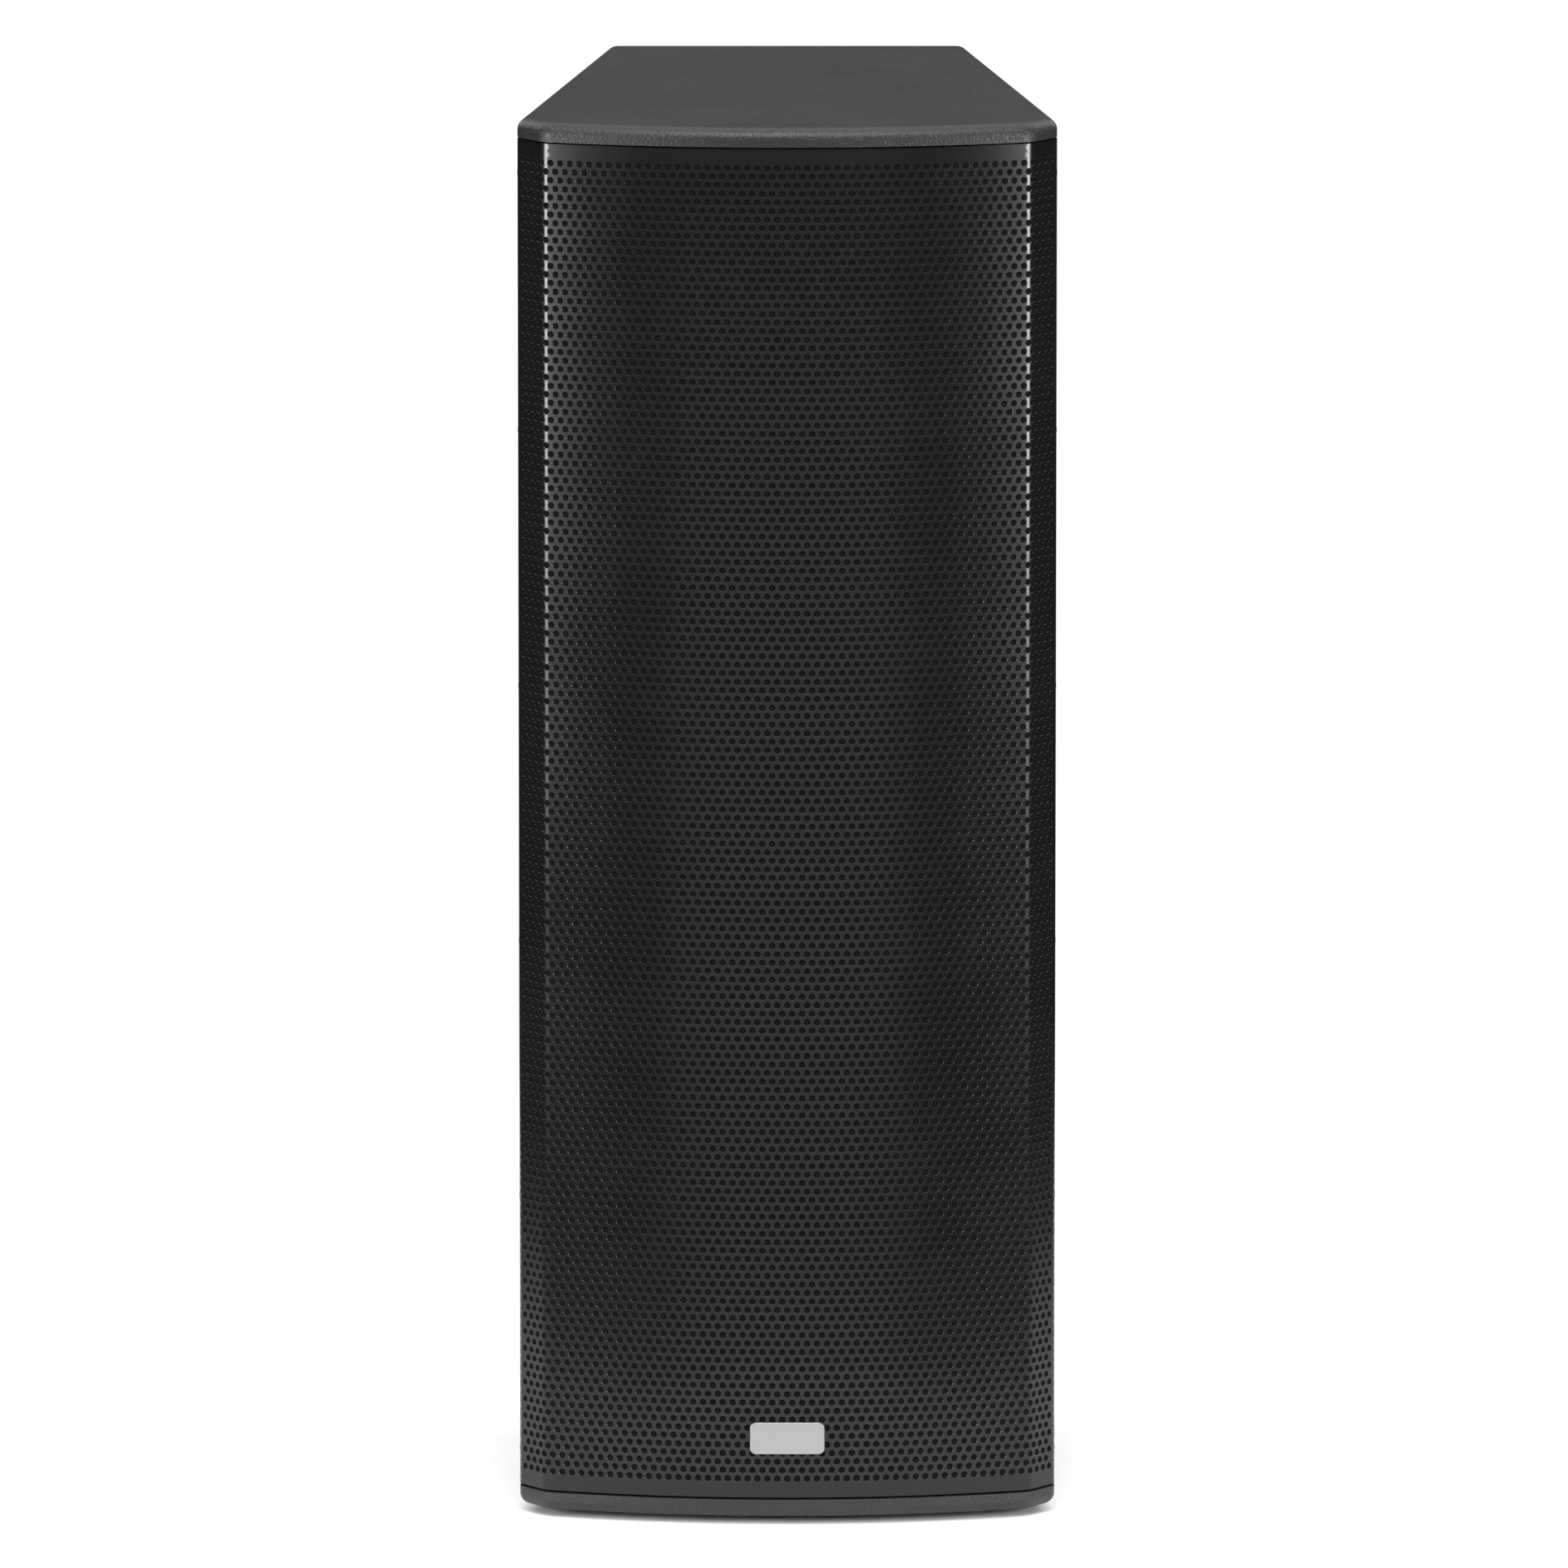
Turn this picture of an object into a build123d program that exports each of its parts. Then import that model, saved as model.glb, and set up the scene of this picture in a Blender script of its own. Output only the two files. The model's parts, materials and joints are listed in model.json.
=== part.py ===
"""A trapezoidal two-way PA speaker cabinet with two 15-inch woofers and a horn.

Millimetres. X is to the right, Y runs from front to back and Z is up. The origin is on the
floor, under the middle of the cabinet's width and depth.
"""

from build123d import *
from math import cos, pi, radians, sin, sqrt, tan
import os

# ---------------------------------------------------------------- enclosure
BODY_WIDTH = 433.0  # over the front corners
BODY_HEIGHT = 1131.0  # with the top and bottom panels, without the feet
BODY_DEPTH = 455.0  # front apex to rear face
SIDE_TAPER = 10.0  # degrees that each side turns in towards the back
FRONT_BOW = 30.0  # how far the front apex stands before the bends
FACET_WIDTH = 21.5  # across, from a bend to its corner
FACET_DEPTH = 26.0  # front to back, from a bend to its corner
BOARD = 15.0  # plywood of the box
EDGE_ROUND = 9.0  # round-over of the outer edges of the end panels
BEND_ROUND = 22.0  # plan radius of the end panels over the bends
CORNER_ROUND = 14.0
REAR_ROUND = 10.0
BAFFLE_BOARD = 18.0
BAFFLE_SETBACK = 64.0  # from the front apex
BRACE_EDGE = 44.0  # wood left round a brace's window
BRACE_CORNER = 25.0
BRACE_GAP = 25.0  # behind the ports
BLIND = 2.0  # wood left under a blind hole

# ---------------------------------------------------------------- grille, feet and badge
SHEET = 1.2  # grille steel
GRILLE_SETBACK = 2.0  # behind the front edge of the end panels
GRILLE_GAP = 1.5  # between the grille's ends and the end panels
GRILLE_BEND = 13.0
GRILLE_CORNER = 5.0
GRILLE_LAP = 20.0  # onto each side
GRILLE_SCREWS = 6  # on each side
GRILLE_SCREW_INSET = 30.0
FOAM = 8.0
FOOT_RADIUS = 19.0
FOOT_HEIGHT = 6.0
FOOT_INSET = 62.0
FOOT_RECESS = 3.0
BADGE_WIDTH = 60.0
BADGE_TALL = 26.0
BADGE_RISE = 49.0  # badge centre above the grille's lower end
BADGE_CORNER = 5.0
BADGE_ROUND = 0.6

# ---------------------------------------------------------------- woofers
# Depths are behind the baffle's front face, less than nothing in front of it.
WOOFER_RADIUS = 192.5
WOOFER_BOLTS = 8
WOOFER_LOW_GAP = 40.0  # frame edge to the bottom panel
WOOFER_MIDDLE_GAP = 14.0  # between the two frames
BOLT_INSET = 5.5  # bolt circle inside the frame's edge
CUTOUT_INSET = 14.5  # baffle cut-out inside the frame's edge
CUTOUT_ROOM = 3.0  # between the cut-out and the basket
RIM_WIDTH = 12.5
RIM_THICK = 9.0
LEDGE_WIDTH = 15.0  # frame ledge that carries the surround
LEDGE_THICK = 5.0
LEDGE_SHEET = 3.0
ROLL_WIDTH = 21.0  # between the ledge and the cone
ROLL_ROOM = 0.3
ROLL_SHEET = 1.2
CONE_LIP = 6.0
CONE_LIP_LAP = 1.2
CONE_SHEET = 1.4
NECK_DEPTH = 65.0
BASKET_SHEET = 3.0
BASKET_SHOULDER = 24.0  # depth at which the basket starts to narrow
BASKET_BACK = 111.0
WINDOWS = 6
WINDOW_INSET = 11.0  # window edges inside the basket's wall and outside the spider
WINDOW_INNER_HALF, WINDOW_OUTER_HALF = 42.0, 56.0  # half widths
SPIDER_SEAT = 84.0  # depth of the spider's seat
SPIDER_LAP = 9.0
SPIDER_SHEET = 0.8
SPIDER_WAVES = 5
SPIDER_WAVE = 3.0
NECK_RADIUS = 102.0
GASKET_THICK = 4.0
FORMER_INNER, FORMER_OUTER = 51.0, 52.0
WINDING_OUTER = 53.6
WINDING_START, WINDING_END = 105.0, 127.0
FORMER_END = 131.0
CAP_RADIUS = 60.0
CAP_RISE = 20.0
CAP_SHEET = 0.8
COIL_ROOM = 1.2  # between the voice coil and the pole or the top plate
PLATE_RADIUS = 88.0
PLATE_THICK = 10.0
MAGNET_RADIUS, MAGNET_BORE = 95.0, 64.0
MAGNET_THICK = 22.0
POLE_VENT = 12.0

# ---------------------------------------------------------------- horn and driver
HORN_WIDTH = 364.0
HORN_HEIGHT = 236.0
HORN_TOP_GAP = 21.0
HORN_FLANGE = 6.0
HORN_CORNER = 14.0
HORN_LIP = 20.0  # flange width round the mouth
HORN_WALL = 3.5
HORN_LENGTH = 190.0
HORN_WAIST_DEPTH = 85.0
HORN_WAIST = (168.0, 96.0)
HORN_FIT = 0.5
THROAT = 18.0  # radius
THROAT_FLANGE = 100.0  # square
THROAT_FLANGE_THICK = 8.0
DRIVER_BOLT_SPACING = 76.0
DRIVER_RADIUS = 82.0
DRIVER_PLATE = 12.0
DRIVER_MAGNET = 20.0
DRIVER_BORE = 50.0
DRIVER_POLE = 42.0
DIAPHRAGM_RADIUS = 44.0
DIAPHRAGM_RISE = 11.0
DIAPHRAGM_SHEET = 0.5
DIAPHRAGM_COIL = 45.0  # inner radius of its voice coil
DIAPHRAGM_COIL_LENGTH = 5.0
DIAPHRAGM_GAP = 0.9  # from the pole's domed end
COVER_RADIUS = 70.0
COVER_THICK = 24.0
COVER_WALL = 6.0

# ---------------------------------------------------------------- ports
PORT_RADIUS = 31.5
PORT_WALL = 2.5
PORT_LIP = 6.0  # flange beyond the tube
PORT_FLANGE_THICK = 4.0
PORT_LENGTH = 118.0
PORT_SIDE_GAP = 5.0  # between a tube's far end and the side board
PORT_ROOM = 4.7  # between a flange and the nearest woofer
PORT_FLARE = 4.0
PORT_GAP = 1.0  # flange to the bottom panel

# ---------------------------------------------------------------- handles
HANDLE_LENGTH = 176.0
HANDLE_TALL = 104.0
HANDLE_DEPTH = 60.0
HANDLE_SHEET = 2.5
HANDLE_LAP = 13.0
HANDLE_CORNER = 14.0
HANDLE_ALONG = 205.0  # from the front corner to the middle of the cup
HANDLE_Z = 640.0
HANDLE_BAR = 12.0  # radius
HANDLE_BAR_DEPTH = 16.0
HANDLE_SCREW_Z = 36.0

# ---------------------------------------------------------------- terminal dish
DISH_WIDTH = 172.0
DISH_TALL = 104.0
DISH_DEPTH = 42.0
DISH_SHEET = 2.5
DISH_LAP = 13.0
DISH_CORNER = 10.0
DISH_Z = 190.0
SOCKET_X = 52.0
SOCKET_PLATE = 26.0
SOCKET_RADIUS = 11.5
SOCKET_MOUTH = 9.5
SOCKET_CORE = 5.5
SOCKET_RISE = 3.0
SOCKET_BACK = 22.0
KNOB_RADIUS = 13.0
KNOB_TALL = 15.0
KNOB_SKIRT = KNOB_TALL / 2
KNOB_GAP = 1.0
SHAFT_RADIUS = 3.0
SHAFT_LENGTH = 12.0
SHAFT_FIT = 0.05
BUSH_RADIUS = 5.0
SWITCH_RADIUS = 13.0
SWITCH_BACK = 14.0

# ---------------------------------------------------------------- crossover and inserts
CROSSOVER_WIDTH, CROSSOVER_LENGTH = 170.0, 120.0
COIL_X, COIL_Y = CROSSOVER_WIDTH / 4, CROSSOVER_LENGTH / 5
CROSSOVER_Y = 130.0
CROSSOVER_BOARD = 2.0
STANDOFF = 8.0
STANDOFF_RADIUS = 4.0
STANDOFF_INSET = 3 * STANDOFF_RADIUS
COIL_OUTER, COIL_BORE = 20.0, 9.0
COIL_TALL = 26.0
INSERT_BORE = 4.25  # M10 tapping radius
INSERT_BARREL = 8.0
INSERT_FLANGE = 15.0
INSERT_FLANGE_THICK = 2.0
INSERT_END = 125.0  # from the ends of the body
INSERT_ALONG = 150.0

# ---------------------------------------------------------------- screws and fits
SCREW_4, SCREW_5 = 2.0, 2.5  # shank radii
HEAD_4, HEAD_5 = 3.8, 4.5  # head radii
HEAD_TALL = 2.4
HEAD_LOW = 0.9  # grille screws
HEAD_TAPER = 25.0  # degrees
DRIVE = 1.6  # across half of the hexagon socket
DRIVE_DEPTH = 1.4
SCREW_ROOM = 0.25  # round a shank
FIT = 0.3  # round what drops into a cut-out
NEAR = 1.0  # either side of a corner's place when it is picked

# ---------------------------------------------------------------- derived places
FRONT_Y = -BODY_DEPTH / 2
REAR_Y = BODY_DEPTH / 2
CORNER_X = BODY_WIDTH / 2
BEND_X = CORNER_X - FACET_WIDTH
BEND_Y = FRONT_Y + FRONT_BOW
CORNER_Y = BEND_Y + FACET_DEPTH
TURN_IN = tan(radians(SIDE_TAPER))
BOARD_X = BOARD / cos(radians(SIDE_TAPER))  # a side board measured along X
FLOOR_Z = FOOT_HEIGHT + BOARD  # upper face of the bottom panel
TOP_Z = FOOT_HEIGHT + BODY_HEIGHT
ROOF_Z = TOP_Z - BOARD  # lower face of the top panel
INSIDE = ROOF_Z - FLOOR_Z
BAFFLE_Y = FRONT_Y + BAFFLE_SETBACK
BAFFLE_BACK_Y = BAFFLE_Y + BAFFLE_BOARD
REAR_INNER_Y = REAR_Y - BOARD
HORN_Z = ROOF_Z - HORN_TOP_GAP - HORN_HEIGHT / 2
PORT_OUTER = PORT_RADIUS + PORT_WALL
PORT_FLANGE = PORT_OUTER + PORT_LIP
PORT_END_Y = BAFFLE_Y + PORT_LENGTH
PORT_X = CORNER_X - (PORT_END_Y - CORNER_Y) * TURN_IN - BOARD_X - PORT_SIDE_GAP - PORT_OUTER
PORT_LOW_Z = FLOOR_Z + PORT_FLANGE + PORT_GAP
PORT_CLEAR = sqrt((WOOFER_RADIUS + PORT_FLANGE + PORT_ROOM) ** 2 - PORT_X**2)
WOOFER_LOW_Z = max(FLOOR_Z + WOOFER_LOW_GAP + WOOFER_RADIUS, PORT_LOW_Z + PORT_CLEAR)
WOOFER_HIGH_Z = WOOFER_LOW_Z + 2 * WOOFER_RADIUS + WOOFER_MIDDLE_GAP
PORT_HIGH_Z = (WOOFER_LOW_Z + WOOFER_HIGH_Z) / 2
UPPER_BRACE_Z = (WOOFER_HIGH_Z + WOOFER_RADIUS + HORN_Z - HORN_HEIGHT / 2) / 2
GRILLE_LOW = FLOOR_Z + GRILLE_GAP
GRILLE_HIGH = ROOF_Z - GRILLE_GAP
GRILLE_CORNER_Y = CORNER_Y + GRILLE_SETBACK
SIDE_FRONT_Y = GRILLE_CORNER_Y + 2 * SHEET
DISH_FLOOR_Y = REAR_Y - DISH_DEPTH
INSERT_HEIGHTS = (FOOT_HEIGHT + INSERT_END, TOP_Z - INSERT_END)
WOOFER_CUTOUT = WOOFER_RADIUS - CUTOUT_INSET
WOOFER_BOLT_CIRCLE = WOOFER_RADIUS - BOLT_INSET
RIM_INNER = WOOFER_RADIUS - RIM_WIDTH
LEDGE_INNER = RIM_INNER - LEDGE_WIDTH
BASKET_RADIUS = WOOFER_CUTOUT - CUTOUT_ROOM
CONE_RADIUS = LEDGE_INNER - ROLL_WIDTH
CONE_BREAK = CONE_RADIUS - CONE_LIP
ROLL_RADIUS = ROLL_WIDTH / 2 - ROLL_ROOM
ROLL_MIDDLE = (LEDGE_INNER + CONE_RADIUS) / 2
SPIDER_RADIUS = NECK_RADIUS + SPIDER_LAP
GAP_INNER = FORMER_INNER - COIL_ROOM
GAP_OUTER = WINDING_OUTER + COIL_ROOM

SLANT = radians(SIDE_TAPER)
SIDE_ORIGIN = (CORNER_X, CORNER_Y, 0)
# On the side plane x runs back from the front corner and y runs up.
SIDE_PLANE = Plane(SIDE_ORIGIN, (-sin(SLANT), cos(SLANT), 0), (cos(SLANT), sin(SLANT), 0))
REAR_PLANE = Plane((0, REAR_Y, 0), (-1, 0, 0), (0, 1, 0))
DISH_PLANE = Plane((0, DISH_FLOOR_Y, 0), (-1, 0, 0), (0, 1, 0))
BAFFLE_PLANE = Plane((0, BAFFLE_Y, 0), (1, 0, 0), (0, -1, 0))

os.makedirs("parts", exist_ok=True)


# ---------------------------------------------------------------- shared helpers
def save(builder, name):
    """Labels a finished piece and writes it."""
    builder.part.label = name
    export_step(builder.part, f"parts/{name}.step")


def save_mirrored(builder, name):
    """Writes the left-hand copy of a right-hand piece."""
    with BuildPart() as left:
        mirror(builder.part, about=Plane.YZ)
    save(left, name)


def half_width(y):
    """Outer half width of the box at a place y behind the front corners."""
    return CORNER_X - (y - CORNER_Y) * TURN_IN


def inner_half(y):
    """Half width between the side boards."""
    return half_width(y) - BOARD_X


def corners_of(half_x, half_y, middle=(0, 0)):
    """Four places symmetric about a middle."""
    x, y = middle
    return [(x + i * half_x, y + j * half_y) for i in (-1, 1) for j in (-1, 1)]


def inside_board(name, front_y, back_y, low_z, high_z):
    """A trapezoid board that fits between the two sides."""
    with BuildPart() as board:
        with BuildSketch(Plane.XY.offset(low_z)):
            with BuildLine():
                Polyline(
                    (-inner_half(front_y), front_y),
                    (inner_half(front_y), front_y),
                    (inner_half(back_y), back_y),
                    (-inner_half(back_y), back_y),
                    close=True,
                )
            make_face()
        extrude(amount=high_z - low_z)
    board.part.label = name
    return board.part


def body_plan(setback, bend_round, corner_round, rear_round):
    """Plan of the box: bowed front, two facets, tapered sides and straight back."""
    corner_y = CORNER_Y + setback
    bend = (BEND_X, BEND_Y + setback)
    corner = (half_width(corner_y), corner_y)
    rear = (half_width(REAR_Y), REAR_Y)
    with BuildSketch() as plan:
        with BuildLine():
            ThreePointArc((-bend[0], bend[1]), (0, FRONT_Y + setback), bend)
            Polyline(bend, corner, rear)
            Line(rear, (-rear[0], rear[1]))
            Polyline((-rear[0], rear[1]), (-corner[0], corner[1]), (-bend[0], bend[1]))
        make_face()
        fillet(vertices().filter_by_position(Axis.Y, bend[1] - NEAR, bend[1] + NEAR), bend_round)
        fillet(vertices().filter_by_position(Axis.Y, corner_y - NEAR, corner_y + NEAR), corner_round)
        if rear_round:
            fillet(vertices().filter_by_position(Axis.Y, REAR_Y - NEAR, REAR_Y + NEAR), rear_round)
    return plan.sketch


def turned(name, outline, place):
    """Turns a closed outline of (radius, depth) points about an axis through the baffle."""
    x, z = place
    with BuildPart() as ring:
        with BuildSketch(Plane((x, BAFFLE_Y, z))):
            with BuildLine():
                Polyline(*outline, close=True)
            make_face()
        revolve(axis=Axis((x, BAFFLE_Y, z), (0, 1, 0)))
    save(ring, name)


def ring_outline(inner, outer, start, end):
    """Outline of a plain ring."""
    return [(inner, start), (outer, start), (outer, end), (inner, end)]


def screws(name, plane, places, shank, head, length, both_sides=False, tall=HEAD_TALL):
    """Screws with hexagon sockets whose heads stand on a plane."""
    with BuildPart() as group:
        with BuildSketch(plane):
            with Locations(*places):
                Circle(head)
        extrude(amount=tall, taper=HEAD_TAPER)
        with BuildSketch(plane.offset(tall)):
            with Locations(*places):
                RegularPolygon(DRIVE, 6)
        extrude(amount=-DRIVE_DEPTH, mode=Mode.SUBTRACT)
        with BuildSketch(plane):
            with Locations(*places):
                Circle(shank)
        extrude(amount=-length)
        if both_sides:
            mirror(about=Plane.YZ)
    save(group, name)


# ---------------------------------------------------------------- places
def foot_places():
    """Plan places of the four feet."""
    rows = (CORNER_Y + FOOT_INSET, REAR_Y - FOOT_INSET)
    return [(i * (half_width(y) - FOOT_INSET), y) for y in rows for i in (-1, 1)]


def grille_screw_places():
    """Screws through the grille's lap, on the side plane."""
    low = FLOOR_Z + GRILLE_SCREW_INSET
    step = (INSIDE - 2 * GRILLE_SCREW_INSET) / (GRILLE_SCREWS - 1)
    return [(GRILLE_SETBACK + GRILLE_LAP / 2, low + i * step) for i in range(GRILLE_SCREWS)]


def handle_screw_places():
    """Screws in a handle cup's lap, on the side plane."""
    half = (HANDLE_LENGTH + HANDLE_LAP) / 2
    return corners_of(half, HANDLE_SCREW_Z, (HANDLE_ALONG, HANDLE_Z))


def dish_screw_places():
    """Screws in the terminal dish's lap, on the rear plane."""
    half_x = (DISH_WIDTH + DISH_LAP) / 2
    half_z = (DISH_TALL + DISH_LAP) / 2
    middles = [(0, DISH_Z - half_z), (0, DISH_Z + half_z)]
    return corners_of(half_x, half_z, (0, DISH_Z)) + middles


def woofer_screw_places(z):
    """Bolt circle of one woofer, on the baffle plane."""
    angles = [2 * pi * (i + 0.5) / WOOFER_BOLTS for i in range(WOOFER_BOLTS)]
    return [(WOOFER_BOLT_CIRCLE * cos(a), z + WOOFER_BOLT_CIRCLE * sin(a)) for a in angles]


def horn_screw_places():
    """Screws round the horn's flange, on the baffle plane."""
    half_x = (HORN_WIDTH - HORN_LIP) / 2
    half_z = (HORN_HEIGHT - HORN_LIP) / 2
    return corners_of(half_x, half_z, (0, HORN_Z)) + [(0, HORN_Z - half_z), (0, HORN_Z + half_z)]


def port_places():
    """Axes of the four ports, on the baffle plane."""
    return [(i * PORT_X, z) for z in (PORT_LOW_Z, PORT_HIGH_Z) for i in (-1, 1)]


# ---------------------------------------------------------------- end panels
def end_panel(name, low_z, outward):
    """The top or bottom panel, rounded over along its outward edges."""
    plan = body_plan(0, BEND_ROUND, CORNER_ROUND, REAR_ROUND)
    with BuildPart() as panel:
        with BuildSketch(Plane.XY.offset(low_z)):
            add(plan)
        extrude(amount=BOARD)
        fillet(panel.faces().sort_by(Axis.Z)[outward].edges(), EDGE_ROUND)
        if outward == 0:
            with BuildSketch(Plane.XY.offset(low_z)):
                with Locations(*foot_places()):
                    Circle(SCREW_4 + SCREW_ROOM)
            extrude(amount=BOARD - BLIND, mode=Mode.SUBTRACT)
    save(panel, name)


end_panel("top_panel", ROOF_Z, -1)
end_panel("bottom_panel", FOOT_HEIGHT, 0)


# ---------------------------------------------------------------- side boards
def side_board():
    """The right side board: rebated for the grille, cut for the handle and the inserts."""
    lap = GRILLE_SETBACK + GRILLE_LAP + GRILLE_GAP
    with BuildPart() as board:
        with BuildSketch(Plane.XY.offset(FLOOR_Z)):
            with BuildLine():
                Polyline(
                    (half_width(SIDE_FRONT_Y), SIDE_FRONT_Y),
                    (half_width(REAR_Y), REAR_Y),
                    (inner_half(REAR_Y), REAR_Y),
                    (inner_half(SIDE_FRONT_Y), SIDE_FRONT_Y),
                    close=True,
                )
            make_face()
        extrude(amount=INSIDE)
        fillet(board.edges().filter_by(Axis.Z).sort_by(Axis.Y)[-2:].sort_by(Axis.X)[-1], REAR_ROUND)
        with BuildSketch(SIDE_PLANE):
            with Locations((lap / 2, FLOOR_Z + INSIDE / 2)):
                Rectangle(lap, INSIDE)
        extrude(amount=-SHEET, mode=Mode.SUBTRACT)
        with BuildSketch(SIDE_PLANE):
            with Locations((HANDLE_ALONG, HANDLE_Z)):
                RectangleRounded(HANDLE_LENGTH + 2 * FIT, HANDLE_TALL + 2 * FIT, HANDLE_CORNER + FIT)
            with Locations(*[(INSERT_ALONG, z) for z in INSERT_HEIGHTS]):
                Circle(INSERT_BARREL)
        extrude(amount=-2 * BOARD, mode=Mode.SUBTRACT)
        with BuildSketch(SIDE_PLANE):
            with Locations(*grille_screw_places(), *handle_screw_places()):
                Circle(SCREW_4 + SCREW_ROOM)
        extrude(amount=BLIND - BOARD, mode=Mode.SUBTRACT)
    return board


right_side = side_board()
save(right_side, "right_side_panel")
save_mirrored(right_side, "left_side_panel")


# ---------------------------------------------------------------- rear board
rear_blank = inside_board("rear_blank", REAR_INNER_Y, REAR_Y, FLOOR_Z, ROOF_Z)

with BuildPart() as rear_panel:
    add(rear_blank)
    with BuildSketch(REAR_PLANE):
        with Locations((0, DISH_Z)):
            RectangleRounded(DISH_WIDTH + 2 * FIT, DISH_TALL + 2 * FIT, DISH_CORNER + FIT)
        with Locations((0, INSERT_HEIGHTS[1])):
            Circle(INSERT_BARREL)
    extrude(amount=-BOARD, mode=Mode.SUBTRACT)
    with BuildSketch(REAR_PLANE):
        with Locations(*dish_screw_places()):
            Circle(SCREW_4 + SCREW_ROOM)
    extrude(amount=BLIND - BOARD, mode=Mode.SUBTRACT)
save(rear_panel, "rear_panel")

# ---------------------------------------------------------------- baffle
baffle_blank = inside_board("baffle_blank", BAFFLE_Y, BAFFLE_BACK_Y, FLOOR_Z, ROOF_Z)

with BuildPart() as front_baffle:
    add(baffle_blank)
    with BuildSketch(BAFFLE_PLANE):
        with Locations((0, WOOFER_LOW_Z), (0, WOOFER_HIGH_Z)):
            Circle(WOOFER_CUTOUT)
        with Locations((0, HORN_Z)):
            mouth_room = 2 * (HORN_WALL + HORN_FIT - HORN_LIP)
            Rectangle(HORN_WIDTH + mouth_room, HORN_HEIGHT + mouth_room)
        with Locations(*port_places()):
            Circle(PORT_OUTER + FIT)
        with Locations(*horn_screw_places()):
            Circle(SCREW_5 + SCREW_ROOM)
        with Locations(*woofer_screw_places(WOOFER_LOW_Z), *woofer_screw_places(WOOFER_HIGH_Z)):
            Circle(SCREW_5 + SCREW_ROOM)
    extrude(amount=-BAFFLE_BOARD, mode=Mode.SUBTRACT)
save(front_baffle, "front_baffle")


# ---------------------------------------------------------------- braces
def window_brace(name, middle_z, front_y):
    """A level board from side to side and against the back, with a large window."""
    low_z = middle_z - BOARD / 2
    blank = inside_board(name, front_y, REAR_INNER_Y, low_z, low_z + BOARD)
    with BuildPart() as brace:
        add(blank)
        with BuildSketch(Plane.XY.offset(low_z)):
            with Locations((0, (front_y + REAR_INNER_Y) / 2)):
                width = 2 * (inner_half(REAR_INNER_Y) - BRACE_EDGE)
                RectangleRounded(width, REAR_INNER_Y - front_y - 2 * BRACE_EDGE, BRACE_CORNER)
        extrude(amount=BOARD, mode=Mode.SUBTRACT)
    save(brace, name)


window_brace("upper_brace", UPPER_BRACE_Z, BAFFLE_BACK_Y)
window_brace("lower_brace", PORT_HIGH_Z, PORT_END_Y + BRACE_GAP)


# ---------------------------------------------------------------- grille, foam and badge
def grille_layer_plan(inset):
    """Plan of the grille's outer face, drawn in by an inset."""
    with BuildSketch() as plan:
        add(body_plan(GRILLE_SETBACK, GRILLE_BEND, GRILLE_CORNER, 0))
        if inset:
            offset(amount=-inset, kind=Kind.INTERSECTION, mode=Mode.REPLACE)
    return plan.sketch


def front_strip(outer, inner, end_y):
    """Plan of a layer under the grille's outer face, ending at a place along the sides."""
    whole = grille_layer_plan(outer)
    core = grille_layer_plan(inner)
    with BuildSketch() as strip:
        add(whole)
        add(core, mode=Mode.SUBTRACT)
        with Locations((0, end_y + BODY_DEPTH / 2)):
            Rectangle(BODY_WIDTH, BODY_DEPTH, mode=Mode.SUBTRACT)
    return strip.sketch


grille_plan = front_strip(0, SHEET, GRILLE_CORNER_Y + GRILLE_LAP)
foam_plan = front_strip(SHEET, SHEET + FOAM, GRILLE_CORNER_Y)
badge_plan = body_plan(GRILLE_SETBACK, GRILLE_BEND, GRILLE_CORNER, 0)

with BuildPart() as lap_holes:
    with BuildSketch(SIDE_PLANE):
        with Locations(*grille_screw_places()):
            Circle(SCREW_4 + SCREW_ROOM)
    extrude(amount=-BOARD)
    mirror(about=Plane.YZ)

with BuildPart() as grille:
    with BuildSketch(Plane.XY.offset(GRILLE_LOW)):
        add(grille_plan)
    extrude(amount=GRILLE_HIGH - GRILLE_LOW)
    add(lap_holes.part, mode=Mode.SUBTRACT)
save(grille, "grille")

with BuildPart() as grille_foam:
    with BuildSketch(Plane.XY.offset(GRILLE_LOW)):
        add(foam_plan)
    extrude(amount=GRILLE_HIGH - GRILLE_LOW)
save(grille_foam, "grille_foam")

lap_grip = BOARD - 2 * BLIND
screws("grille_screws", SIDE_PLANE, grille_screw_places(), SCREW_4, HEAD_4, lap_grip, True, HEAD_LOW)

with BuildPart() as badge:
    with BuildSketch(Plane((0, FRONT_Y, 0), (1, 0, 0), (0, -1, 0))):
        with Locations((0, GRILLE_LOW + BADGE_RISE)):
            RectangleRounded(BADGE_WIDTH, BADGE_TALL, BADGE_CORNER)
    extrude(amount=-GRILLE_SETBACK * 2)
    fillet(badge.faces().sort_by(Axis.Y)[0].edges(), BADGE_ROUND)
    with BuildSketch(Plane.XY.offset(GRILLE_LOW)):
        add(badge_plan)
    extrude(amount=BADGE_RISE * 2, mode=Mode.SUBTRACT)
save(badge, "badge")

# ---------------------------------------------------------------- feet
with BuildPart() as rubber_feet:
    with BuildSketch(Plane.XY.offset(FOOT_HEIGHT)):
        with Locations(*foot_places()):
            Circle(FOOT_RADIUS)
    extrude(amount=-FOOT_HEIGHT, taper=SIDE_TAPER)
    with BuildSketch():
        with Locations(*foot_places()):
            Circle(HEAD_5 + FIT)
    extrude(amount=FOOT_RECESS, mode=Mode.SUBTRACT)
    with BuildSketch():
        with Locations(*foot_places()):
            Circle(SCREW_4 + SCREW_ROOM)
    extrude(amount=FOOT_HEIGHT, mode=Mode.SUBTRACT)
save(rubber_feet, "rubber_feet")

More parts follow.
